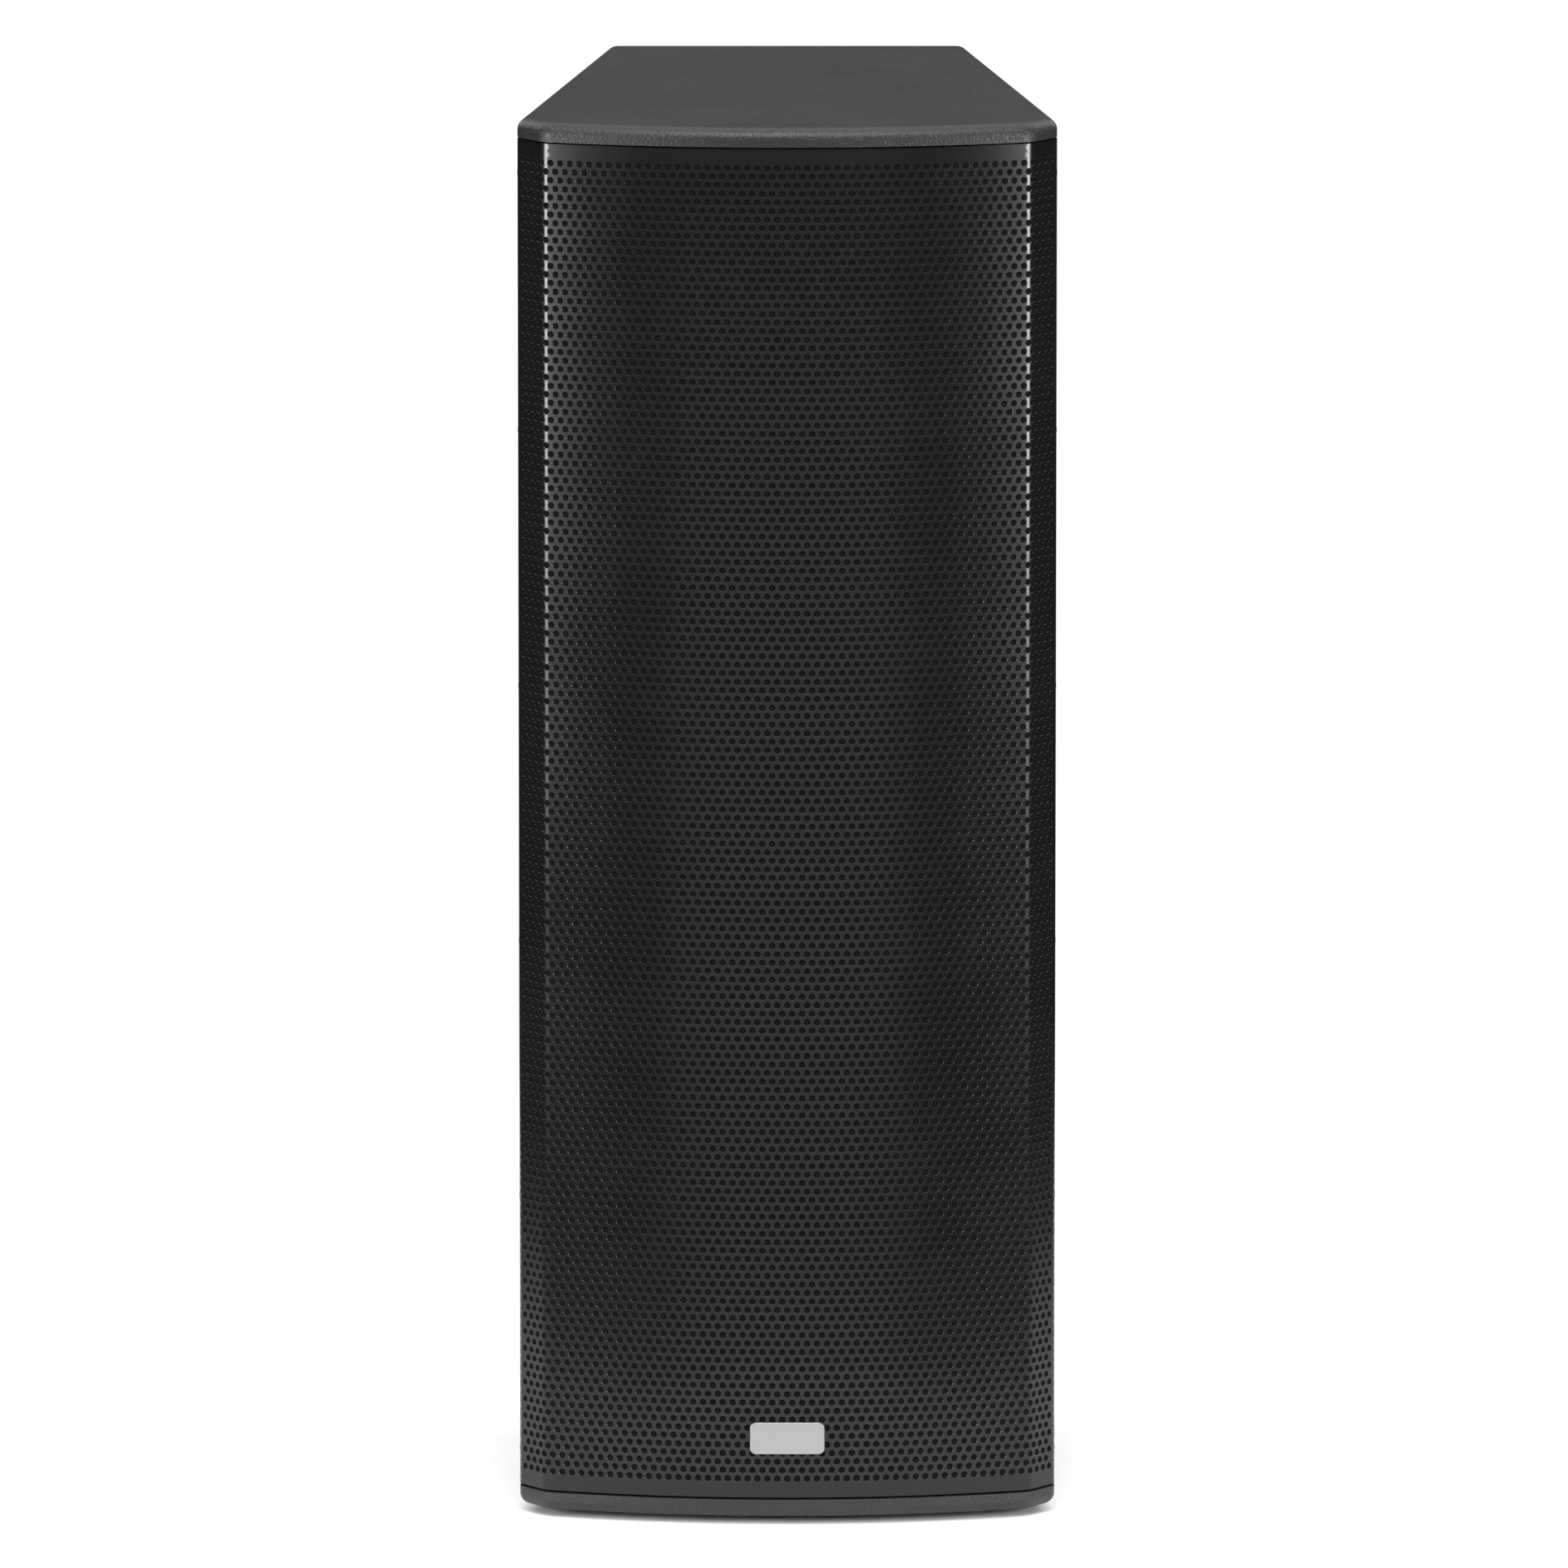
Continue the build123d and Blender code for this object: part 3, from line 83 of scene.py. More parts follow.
# ------------------------------------------------------------------ shader graph
class Value:
    """A number-valued socket that takes part in arithmetic."""

    def __init__(self, graph: "Graph", socket: bpy.types.NodeSocket) -> None:
        """Wraps a socket.

        Args:
            graph: The graph that the socket belongs to.
            socket: An output socket that carries a number.
        """
        self.graph = graph
        self.socket = socket

    def __add__(self, other: "Value | float") -> "Value":
        """Sum."""
        return self.graph.math("ADD", self, other)

    def __sub__(self, other: "Value | float") -> "Value":
        """Difference."""
        return self.graph.math("SUBTRACT", self, other)

    def __mul__(self, other: "Value | float") -> "Value":
        """Product."""
        return self.graph.math("MULTIPLY", self, other)

    def __pow__(self, other: "Value | float") -> "Value":
        """Power."""
        return self.graph.math("POWER", self, other)

    def at_least(self, other: "Value | float") -> "Value":
        """The larger of two values."""
        return self.graph.math("MAXIMUM", self, other)

    def at_most(self, other: "Value | float") -> "Value":
        """The smaller of two values."""
        return self.graph.math("MINIMUM", self, other)


class Graph:
    """The node tree of a material or a world."""

    def __init__(self, owner: bpy.types.Material | bpy.types.World) -> None:
        """Takes an owner and empties its node tree.

        Args:
            owner: The material or world.
        """
        owner.use_nodes = True
        self.owner = owner
        self.tree = owner.node_tree
        self.tree.nodes.clear()

    def node(self, kind: str, settings: Mapping[str, Any], sockets: Mapping[Any, Any]) -> bpy.types.Node:
        """Adds a node.

        Args:
            kind: The node's type.
            settings: Its properties, set before its sockets.
            sockets: Values or links by socket name or index.

        Returns:
            The new node.
        """
        made = self.tree.nodes.new(kind)
        for key, value in settings.items():
            setattr(made, key, value)
        for key, value in sockets.items():
            if isinstance(value, Value):
                value = value.socket
            if isinstance(value, bpy.types.NodeSocket):
                self.tree.links.new(value, made.inputs[key])
            else:
                made.inputs[key].default_value = value
        return made

    def math(self, operation: str, left: Value | float, right: Value | float) -> Value:
        """Adds a Math node for two operands.

        Args:
            operation: What the node works out.
            left: The first operand.
            right: The second operand.

        Returns:
            The result.
        """
        made = self.node("ShaderNodeMath", {"operation": operation}, {0: left, 1: right})
        return Value(self, made.outputs[0])

    def place(self, stretch: Colour = (1.0, 1.0, 1.0)) -> bpy.types.NodeSocket:
        """Adds object coordinates.

        Args:
            stretch: The scale along each axis.

        Returns:
            The coordinates.
        """
        where = self.node("ShaderNodeTexCoord", {}, {}).outputs["Object"]
        return self.node("ShaderNodeMapping", {}, {"Vector": where, "Scale": stretch}).outputs[0]

    def noise(self, where: bpy.types.NodeSocket, scale: float, detail: float = 3.0) -> Value:
        """Adds smooth noise.

        Args:
            where: The coordinates.
            scale: Features to the metre.
            detail: How many finer layers it has.

        Returns:
            The noise, from 0 to 1.
        """
        made = self.node("ShaderNodeTexNoise", {}, {"Vector": where, "Scale": scale, "Detail": detail})
        return Value(self, made.outputs[0])

    def cells(self, where: bpy.types.NodeSocket, scale: float) -> Value:
        """Adds a pattern of scattered points.

        Args:
            where: The coordinates.
            scale: Points to the metre.

        Returns:
            The distance to the nearest point.
        """
        made = self.node("ShaderNodeTexVoronoi", {}, {"Vector": where, "Scale": scale})
        return Value(self, made.outputs["Distance"])

    def waves(self, where: bpy.types.NodeSocket, scale: float, bend: float, along: str) -> Value:
        """Adds bands that noise bends.

        Args:
            where: The coordinates.
            scale: Bands to the metre.
            bend: How far the noise bends them.
            along: The axis that they follow one another along.

        Returns:
            The bands' height.
        """
        made = self.node(
            "ShaderNodeTexWave",
            {"bands_direction": along},
            {"Vector": where, "Scale": scale, "Distortion": bend},
        )
        return Value(self, made.outputs[1])

    def blend(self, share: Value, low: Colour, high: Colour) -> bpy.types.NodeSocket:
        """Adds a colour between two.

        Args:
            share: The share of the second colour, from 0 to 1.
            low: The first colour.
            high: The second colour.

        Returns:
            The colour.
        """
        made = self.node(
            "ShaderNodeMix",
            {"data_type": "RGBA"},
            {0: share, 6: (*low, 1.0), 7: (*high, 1.0)},
        )
        return made.outputs[2]

    def bump(self, height: Value, reach: float, strength: float) -> bpy.types.NodeSocket:
        """Adds a normal that a height tilts.

        Args:
            height: The height, from 0 to about 1.
            reach: How far 1 stands out, in metres.
            strength: The share of the tilt that shows.

        Returns:
            The normal.
        """
        sockets = {"Height": height, "Distance": reach, "Strength": strength}
        return self.node("ShaderNodeBump", {}, sockets).outputs[0]

    def surface(self, **sockets: Any) -> bpy.types.Material:
        """Closes the graph with a Principled surface.

        Args:
            **sockets: Principled sockets, with spaces written as underscores.

        Returns:
            The finished material.
        """
        named = {key.replace("_", " "): value for key, value in sockets.items()}
        shader = self.node("ShaderNodeBsdfPrincipled", {}, named)
        self.node("ShaderNodeOutputMaterial", {}, {"Surface": shader.outputs[0]})
        return self.owner


# ------------------------------------------------------------------ finishes
DROP_GAIN = 1.6
DROP_FLOOR = 0.3
DROP_SPACING = 0.7
DIMPLE_SHARE = 0.4
FOAM_WALLS = 0.8
FOAM_SPECKS = 0.4
PLY_STRETCH = (4.0, 0.35, 4.0)
PLY_GRAINS_A_RING = 40.0
PLY_WANDER = 6.0
THREAD_WANDER = 0.4
BRUSH_STRETCH = (1.0, 30.0, 30.0)
BRUSH_GRAINS_A_LINE = 12.0
CAST_LUMPS = 9.0
CAST_FINE_SHARE = 0.7
MOULD_NOISE_SHARE = 0.6
BROAD_SCALE = 9.0
RELIEF_SHADE_SHARE = 0.55


class Relief(Enum):
    """The small relief of a finish."""

    SPATTER = "raised spatter of structured paint"
    PEEL = "faint orange peel of powder coat"
    MOULDED = "fine matt grain of a moulding"
    FOAM = "open cells"
    PLY = "wood grain"
    FELT = "pressed fibres"
    WEAVE = "crossed threads"
    BRUSHED = "fine lines one way"
    CAST = "rough casting"
    WOUND = "turns of wire"


@dataclass(frozen=True)
class Finish:
    """One finish: two shades, a gloss and a relief."""

    name: str
    low: Colour
    high: Colour
    rough: float
    relief: Relief
    rough_swing: float = 0.06
    metal: float = 0.0
    grains: float = 900.0
    height: float = 0.08 * MM
    strength: float = 0.5
    specular: float = 0.5

    def pattern(self, graph: Graph) -> Value:
        """Works out the relief's height from 0 to about 1.

        Args:
            graph: The material's graph.

        Returns:
            The height.
        """
        where = graph.place()
        if self.relief is Relief.SPATTER:
            drops = (graph.noise(where, self.grains, 2.0) * DROP_GAIN - DROP_FLOOR) ** 2
            return drops + graph.cells(where, self.grains * DROP_SPACING) * DIMPLE_SHARE
        if self.relief is Relief.FOAM:
            specks = graph.noise(where, self.grains * 2.0) * FOAM_SPECKS
            return graph.cells(where, self.grains) * FOAM_WALLS + specks
        if self.relief is Relief.PLY:
            long = graph.place(PLY_STRETCH)
            ring = graph.waves(long, self.grains / PLY_GRAINS_A_RING, PLY_WANDER, "X")
            return ring * 0.5 + graph.noise(long, self.grains) * 0.5
        if self.relief is Relief.WEAVE:
            across = graph.waves(where, self.grains, THREAD_WANDER, "X")
            return across.at_least(graph.waves(where, self.grains, THREAD_WANDER, "Z"))
        if self.relief is Relief.BRUSHED:
            return graph.noise(graph.place(BRUSH_STRETCH), self.grains / BRUSH_GRAINS_A_LINE, 5.0)
        if self.relief is Relief.CAST:
            lumps = graph.noise(where, self.grains / CAST_LUMPS) * (1.0 - CAST_FINE_SHARE)
            return graph.noise(where, self.grains, 6.0) * CAST_FINE_SHARE + lumps
        if self.relief is Relief.FELT:
            return graph.noise(where, self.grains, 8.0)
        if self.relief is Relief.WOUND:
            return graph.waves(where, self.grains, 0.0, "Y")
        if self.relief is Relief.MOULDED:
            cells = graph.cells(where, self.grains) * (1.0 - MOULD_NOISE_SHARE)
            return graph.noise(where, self.grains, 4.0) * MOULD_NOISE_SHARE + cells
        return graph.noise(where, self.grains, 2.0)

    def material(self) -> bpy.types.Material:
        """Builds the finish's material.

        Returns:
            The material.
        """
        graph = Graph(bpy.data.materials.new(self.name))
        relief = self.pattern(graph)
        broad = graph.noise(graph.place(), BROAD_SCALE, 4.0)
        share = relief * RELIEF_SHADE_SHARE + broad * (1.0 - RELIEF_SHADE_SHARE)
        share = share.at_most(1.0).at_least(0.0)
        rough = (broad - 0.5) * (2.0 * self.rough_swing) + self.rough
        return graph.surface(
            Base_Color=graph.blend(share, self.low, self.high),
            Roughness=rough,
            Metallic=self.metal,
            Specular_IOR_Level=self.specular,
            Normal=graph.bump(relief, self.height, self.strength),
        )


def grey(level: float) -> Colour:
    """A neutral colour.

    Args:
        level: Its brightness, from 0 to 1.

    Returns:
        The colour.
    """
    return (level, level, level)


PAINT = Finish(
    "structured_paint", grey(0.003), grey(0.024), 0.46, Relief.SPATTER, grains=520.0,
    height=0.4 * MM, strength=0.8,
)
GRILLE_COAT = Finish(
    "grille_powder_coat", grey(0.003), grey(0.006), 0.25, Relief.PEEL, specular=0.4, grains=1300.0,
    height=0.03 * MM, strength=0.35,
)
FOAM = Finish(
    "acoustic_foam", grey(0.002), grey(0.007), 0.95, Relief.FOAM, grains=650.0, height=0.6 * MM,
    strength=0.9, specular=0.1,
)
BADGE_METAL = Finish(
    "satin_badge_metal", grey(0.34), grey(0.46), 0.34, Relief.BRUSHED, metal=1.0, grains=9000.0,
    height=0.01 * MM,
)

SLOT_FINISHES: dict[str, Finish] = {
    "textured_paint": PAINT,
    "black_wood": Finish("stained_baffle", grey(0.012), grey(0.026), 0.6, Relief.PLY, grains=400.0),
    "raw_ply": Finish(
        "bare_ply", (0.42, 0.28, 0.15), (0.62, 0.45, 0.27), 0.62, Relief.PLY, grains=420.0,
    ),
    "foot_rubber": Finish(
        "foot_rubber", grey(0.012), grey(0.024), 0.75, Relief.MOULDED, grains=1500.0,
    ),
    "zinc_screw": Finish(
        "zinc_screws", grey(0.5), grey(0.66), 0.3, Relief.BRUSHED, metal=1.0, height=0.01 * MM,
    ),
    "black_screw": Finish(
        "blackened_screws", grey(0.02), grey(0.05), 0.36, Relief.CAST, metal=0.7, height=0.02 * MM,
    ),
    "powder_coat": GRILLE_COAT,
    "foam_black": FOAM,
    "badge_metal": BADGE_METAL,
    "horn_plastic": Finish(
        "horn_moulding", grey(0.014), grey(0.024), 0.42, Relief.MOULDED, grains=1700.0,
    ),
    "abs_black": Finish(
        "dish_moulding", grey(0.014), grey(0.026), 0.48, Relief.MOULDED, grains=1500.0,
        height=0.06 * MM,
    ),
    "port_plastic": Finish(
        "port_moulding", grey(0.012), grey(0.022), 0.5, Relief.MOULDED, grains=1500.0,
    ),
    "socket_plastic": Finish(
        "socket_moulding", grey(0.022), grey(0.034), 0.36, Relief.MOULDED, grains=2600.0,
    ),
    "knob_plastic": Finish(
        "knob_moulding", grey(0.02), grey(0.03), 0.32, Relief.MOULDED, grains=2600.0,
    ),
    "handle_steel": Finish(
        "handle_coat", grey(0.016), grey(0.028), 0.4, Relief.PEEL, grains=1100.0, height=0.05 * MM,
    ),
    "cast_black": Finish(
        "painted_casting", grey(0.02), grey(0.035), 0.45, Relief.CAST, grains=700.0,
    ),
    "treated_cloth": Finish(
        "surround_cloth", grey(0.01), grey(0.03), 0.7, Relief.WEAVE, grains=350.0,
    ),
    "spider_cloth": Finish(
        "spider_cloth", (0.3, 0.17, 0.05), (0.5, 0.32, 0.12), 0.75, Relief.WEAVE, grains=350.0,
    ),
    "paper_black": Finish("cone_paper", grey(0.012), grey(0.035), 0.8, Relief.FELT, grains=900.0),
    "gasket_rubber": Finish(
        "gasket", grey(0.01), grey(0.02), 0.85, Relief.FOAM, grains=1500.0, height=0.1 * MM,
    ),
    "copper": Finish(
        "coil_windings", (0.5, 0.2, 0.08), (0.75, 0.36, 0.17), 0.35, Relief.WOUND, metal=0.9,
        grains=900.0,
    ),
    "zinc_steel": Finish(
        "plated_steel", (0.13, 0.125, 0.11), (0.2, 0.195, 0.17), 0.42, Relief.BRUSHED, metal=1.0,
    ),
    "ferrite": Finish("ferrite", grey(0.03), grey(0.06), 0.6, Relief.CAST, grains=900.0),
    "titanium": Finish("drawn_foil", grey(0.42), grey(0.55), 0.35, Relief.BRUSHED, metal=1.0),
    "circuit_board": Finish(
        "circuit_board", (0.01, 0.07, 0.03), (0.02, 0.12, 0.05), 0.4, Relief.CAST, grains=300.0,
    ),
}


class Wardrobe:
    """Keeps one material for each finish and dresses pieces in them."""

    def __init__(self) -> None:
        """Starts with no materials made."""
        self.made: dict[str, bpy.types.Material] = {}

    def dress(self, piece: bpy.types.Object, finish: Finish) -> None:
        """Gives a piece one finish all over.

        Args:
            piece: The mesh object.
            finish: Its finish.
        """
        if finish.name not in self.made:
            self.made[finish.name] = finish.material()
        piece.data.materials.clear()
        piece.data.materials.append(self.made[finish.name])

    def dress_frame(self, frame: Mapping[str, Any]) -> int:
        """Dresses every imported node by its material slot.

        Args:
            frame: The loaded frame.

        Returns:
            How many nodes were dressed.
        """
        rows = frame["record"]["subparts"]
        for row in rows:
            self.dress(frame["nodes"][row["node"]], SLOT_FINISHES[row["material_slot"]])
        return len(rows)


# ------------------------------------------------------------------ mesh helpers
@dataclass(frozen=True)
class Patch:
    """Faces with one number of corners, and a normal for each corner."""

    faces: np.ndarray
    normals: np.ndarray


def unit(vectors: np.ndarray) -> np.ndarray:
    """Divides each vector by its own length.

    Args:
        vectors: Vectors along the last axis.

    Returns:
        Vectors of length 1.
    """
    return vectors / np.maximum(np.linalg.norm(vectors, axis=-1, keepdims=True), TINY)


def flat_patch(points: np.ndarray, faces: np.ndarray) -> Patch:
    """Shades faces flat, with the cross product of each one's diagonals as its normal.

    Args:
        points: Vertices, n by 3.
        faces: Four-cornered faces.

    Returns:
        The patch.
    """
    one, two, three, four = (points[faces[:, i]] for i in range(4))
    facing = unit(np.cross(three - one, four - two))
    return Patch(faces, np.repeat(facing[:, None, :], 4, 1))


def link_mesh(name: str, points: np.ndarray, faces: Sequence[np.ndarray]) -> bpy.types.Object:
    """Makes a mesh object at the origin.

    Args:
        name: The piece's name.
        points: Vertices, n by 3, in metres.
        faces: Arrays of faces, each with one number of corners.

    Returns:
        The linked object.
    """
    mesh = bpy.data.meshes.new(name)
    loops = np.concatenate([part.ravel() for part in faces]).astype(np.int32)
    totals = np.concatenate([np.full(len(part), part.shape[1]) for part in faces]).astype(np.int32)
    starts = (np.cumsum(totals) - totals).astype(np.int32)
    mesh.vertices.add(len(points))
    mesh.vertices.foreach_set("co", points.astype(np.float32).ravel())
    mesh.loops.add(len(loops))
    mesh.loops.foreach_set("vertex_index", loops)
    mesh.polygons.add(len(totals))
    mesh.polygons.foreach_set("loop_start", starts)
    mesh.polygons.foreach_set("loop_total", totals)
    mesh.update(calc_edges=True)
    piece = bpy.data.objects.new(name, mesh)
    bpy.context.scene.collection.objects.link(piece)
    return piece


def shaded(name: str, points: np.ndarray, patches: Sequence[Patch]) -> bpy.types.Object:
    """Makes a mesh object whose corners have the patches' own normals.

    Args:
        name: The piece's name.
        points: Vertices, n by 3, in metres.
        patches: The faces and their corner normals.

    Returns:
        The linked object.
    """
    piece = link_mesh(name, points, [patch.faces for patch in patches])
    normals = np.concatenate([patch.normals.reshape(-1, 3) for patch in patches])
    smooth = np.ones(len(piece.data.polygons), dtype=bool)
    piece.data.polygons.foreach_set("use_smooth", smooth)
    piece.data.normals_split_custom_set(normals.astype(np.float32))
    return piece


# ------------------------------------------------------------------ grille
@dataclass
class FormedSheet:
    """Plan of the grille: a bowed front, two bends, two facets and two laps.

    The heading of the plan turns evenly along each arc and stays put along each straight, and
    the plan is the running sum of the heading's cosine and sine.
    """

    bend_x: float = 195.0 * MM
    bow: float = 30.0 * MM
    corner: tuple[float, float] = (216.15 * MM, 56.0 * MM)
    bend_round: float = 13.0 * MM
    corner_round: float = 5.0 * MM
    taper: float = math.radians(10.0)
    step: float = 0.02 * MM
    length: float = 0.0
    facet_end: float = 0.0
    table: np.ndarray = field(default_factory=lambda: np.zeros((0, 4)))

    def trace(self, front_y: float, end_y: float) -> None:
        """Tables place and heading against length from the apex.

        Args:
            front_y: The apex of the front face.
            end_y: Where the laps end.
        """
        radius = (self.bend_x**2 + self.bow**2) / (2 * self.bow)
        sweep = math.asin(self.bend_x / radius)
        run = (self.corner[0] - self.bend_x, self.corner[1] - self.bow)
        facet = math.atan2(run[1], run[0])
        side = math.pi / 2 + self.taper
        ease_1 = self.bend_round * math.tan((facet - sweep) / 2)
        ease_2 = self.corner_round * math.tan((side - facet) / 2)
        lap = (end_y - front_y - self.corner[1]) / math.cos(self.taper)
        lengths = (
            radius * sweep - ease_1,
            self.bend_round * (facet - sweep),
            math.hypot(*run) - ease_1 - ease_2,
            self.corner_round * (side - facet),
            lap - ease_2,
        )
        marks = np.concatenate([[0.0], np.cumsum(lengths)])
        self.length = float(marks[-1])
        self.facet_end = float(marks[3])
        lengthways = np.arange(0.0, self.length + self.step, self.step)
        heading = np.interp(lengthways, marks, [0.0, sweep, facet, facet, side, side])
        middle = (heading[1:] + heading[:-1]) / 2
        x = np.concatenate([[0.0], np.cumsum(np.cos(middle)) * self.step])
        y = front_y + np.concatenate([[0.0], np.cumsum(np.sin(middle)) * self.step])
        self.table = np.column_stack([lengthways, x, y, heading])

    def at(self, along: np.ndarray) -> tuple[np.ndarray, np.ndarray, np.ndarray]:
        """Places and directions at signed lengths from the apex.

        Args:
            along: Lengths along the sheet, less than nothing to the left.

        Returns:
            Plan points, outward normals and headings, each n by 3 with no height.
        """
        away = np.minimum(np.abs(along), self.length)
        x, y, heading = (np.interp(away, self.table[:, 0], self.table[:, i]) for i in (1, 2, 3))
        sign = np.sign(along)
        level = np.zeros(len(along))
        place = np.column_stack([sign * x, y, level])
        outward = np.column_stack([sign * np.sin(heading), -np.cos(heading), level])
        ahead = np.column_stack([np.cos(heading), sign * np.sin(heading), level])
        return place, outward, ahead


@dataclass
class PerforatedGrille:
    """The perforated sheet, made as rings of faces round staggered holes.

    Cells are hexagons that tile the sheet. Each perforated cell is a chain of twelve-point
    rings: its outline, the hole's rim, the end of the rim's rounding, the hole's back edge and
    the outline again on the back.
    """

    pitch: float = 8.0 * MM
    hole: float = 2.5 * MM
    rim: float = 0.3 * MM
    rim_depth: float = 0.26 * MM
    thick: float = 1.2 * MM
    rows: int = 155
    margin_rows: int = 2
    bands: int = 5
    corners: int = 12
    facet_margin: float = 3.6 * MM
    along_slack: float = 0.1
    row_slack: float = 0.3
    sheet: FormedSheet = field(default_factory=FormedSheet)
    low: float = 0.0
    high: float = 0.0

    @property
    def row_step(self) -> float:
        """Height from one row of holes to the next."""
        return self.pitch * math.sqrt(3) / 2

    @property
    def all_rows(self) -> int:
        """Perforated and plain rows together."""
        return self.rows + 2 * self.margin_rows

    @property
    def turns(self) -> np.ndarray:
        """The angles of a cell's points."""
        return np.arange(self.corners) * 2 * math.pi / self.corners

    @property
    def circle(self) -> np.ndarray:
        """A cell's points on a circle of radius 1."""
        return np.column_stack([np.cos(self.turns), np.sin(self.turns)])

    @property
    def rings(self) -> tuple[tuple[float, float], ...]:
        """Radius and depth of each ring of a hole, from its rim to its back edge."""
        rim = (self.hole + self.rim, 0.0)
        return rim, (self.hole, self.rim_depth), (self.hole, self.thick)

    @property
    def pattern_edge(self) -> float:
        """Length at which whole cells end, before they are drawn out to the lap's end."""
        return (math.floor(self.sheet.length / self.pitch - 0.5) + 0.5) * self.pitch

    def measure(self) -> None:
        """Takes the sheet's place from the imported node."""
        lowest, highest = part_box("grille")
        self.low, self.high = lowest.z, highest.z
        self.sheet.trace(lowest.y, highest.y)

    def centres(self, band: int) -> tuple[np.ndarray, np.ndarray, np.ndarray]:
        """Lays out one band's cells, each odd row half a pitch along.

        Args:
            band: The band, counted from the bottom.

        Returns:
            Each cell's length along the sheet, its row, and whether it is perforated.
        """
        first, last = (round(self.all_rows * i / self.bands) for i in (band, band + 1))
        reach = round(self.pattern_edge / self.pitch) + 1
        row, column = np.meshgrid(np.arange(first, last), np.arange(-reach, reach), indexing="ij")
        along = (column + 0.5 * (row % 2)) * self.pitch
        keep = np.abs(along) < self.pattern_edge + self.along_slack * self.pitch
        along, row = along[keep], row[keep]
        inside = (row >= self.margin_rows) & (row < self.all_rows - self.margin_rows)
        return along, row, inside & (np.abs(along) < self.sheet.facet_end - self.facet_margin)

    def settle(self, along: np.ndarray, row: np.ndarray) -> tuple[np.ndarray, np.ndarray]:
        """Draws the pattern's edges out to the sheet's own edges.

        Past the facets the length is stretched evenly up to the lap's end, and the margin rows
        share what the perforated rows leave at the top and bottom.

        Args:
            along: Lengths along the sheet.
            row: Heights in rows above the lower edge.

        Returns:
            The drawn-out lengths and the heights in metres.
        """
        edge, start = self.pattern_edge, self.sheet.facet_end
        far = np.minimum(np.abs(along), edge)
        grown = start + (far - start) * (self.sheet.length - start) / (edge - start)
        along = np.sign(along) * np.where(far > start, grown, far)
        total, margin = self.all_rows, self.margin_rows
        spare = (self.high - self.low - self.rows * self.row_step) / 2
        heights = [self.low, self.low + spare, self.high - spare, self.high]
        row = np.where(row > total - self.row_slack, total, row)
        row = np.where(row < self.row_slack, 0.0, row)
        return along, np.interp(row, [0, margin, total - margin, total], heights)

    def outlines(self, along: np.ndarray, row: np.ndarray) -> tuple[np.ndarray, np.ndarray]:
        """Works out the cells' outlines: hexagons with a point in the middle of each side.

        Args:
            along: The cells' lengths along the sheet.
            row: The cells' rows.

        Returns:
            Shared outline points on the flat sheet, and each cell's points by number.
        """
        to_side = np.arange(self.corners) % 2 == 0
        reach = np.where(to_side, self.pitch / 2, self.pitch / math.sqrt(3))
        ring_along = along[:, None] + reach * np.cos(self.turns)
        ring_row = row[:, None] + 0.5 + reach * np.sin(self.turns) / self.row_step
        flat = np.column_stack(self.settle(ring_along.ravel(), ring_row.ravel()))
        key = np.round(flat / SAME_POINT).astype(np.int64)
        _, first, number = np.unique(key, axis=0, return_index=True, return_inverse=True)
        return flat[first], number.reshape(-1, self.corners)

    def band(self, index: int) -> bpy.types.Object:
        """Builds one band of rows as a closed shell.

        Args:
            index: The band, counted from the bottom.

        Returns:
            The band's object.
        """
        along, row, is_open = self.centres(index)
        outline, cells = self.outlines(along, row)
        holes = np.column_stack(self.settle(along[is_open], row[is_open] + 0.5))
        limit = self.pattern_edge - self.pitch / 6
        hub_along = np.clip(along[~is_open], -limit, limit)
        hubs = np.column_stack(self.settle(hub_along, row[~is_open] + 0.5))
        points, outward, ahead = self.lay_points(outline, holes, hubs)
        front = len(outline)
        patches = self.perforated(cells[is_open], front, outward, ahead)
        patches += self.plain(cells[~is_open], front, len(points) - 2 * len(hubs), outward)
        patches.append(flat_patch(points, self.border(cells, front)))
        return shaded(f"grille_band_{index + 1}", points, patches)

    def lay_points(
        self, outline: np.ndarray, holes: np.ndarray, hubs: np.ndarray
    ) -> tuple[np.ndarray, np.ndarray, np.ndarray]:
        """Lays a band's points on the formed sheet.

        The order is the outline on the front and on the back, each ring of every hole, and the
        plain cells' middles on the front and on the back.

        Args:
            outline: Outline points on the flat sheet.
            holes: The holes' middles on the flat sheet.
            hubs: The plain cells' middles on the flat sheet.

        Returns:
            The points, and the sheet's outward and lengthways directions at each.
        """
        flat, depth = [outline, outline], [0.0, self.thick]
        for radius, deep in self.rings:
            flat.append((holes[:, None, :] + radius * self.circle).reshape(-1, 2))
            depth.append(deep)
        flat += [hubs, hubs]
        depth += [0.0, self.thick]
        deep = np.repeat(depth, [len(part) for part in flat])[:, None]
        flat = np.concatenate(flat)
        place, outward, ahead = self.sheet.at(flat[:, 0])
        points = place - outward * deep
        points[:, 2] = flat[:, 1]
        return points, outward, ahead

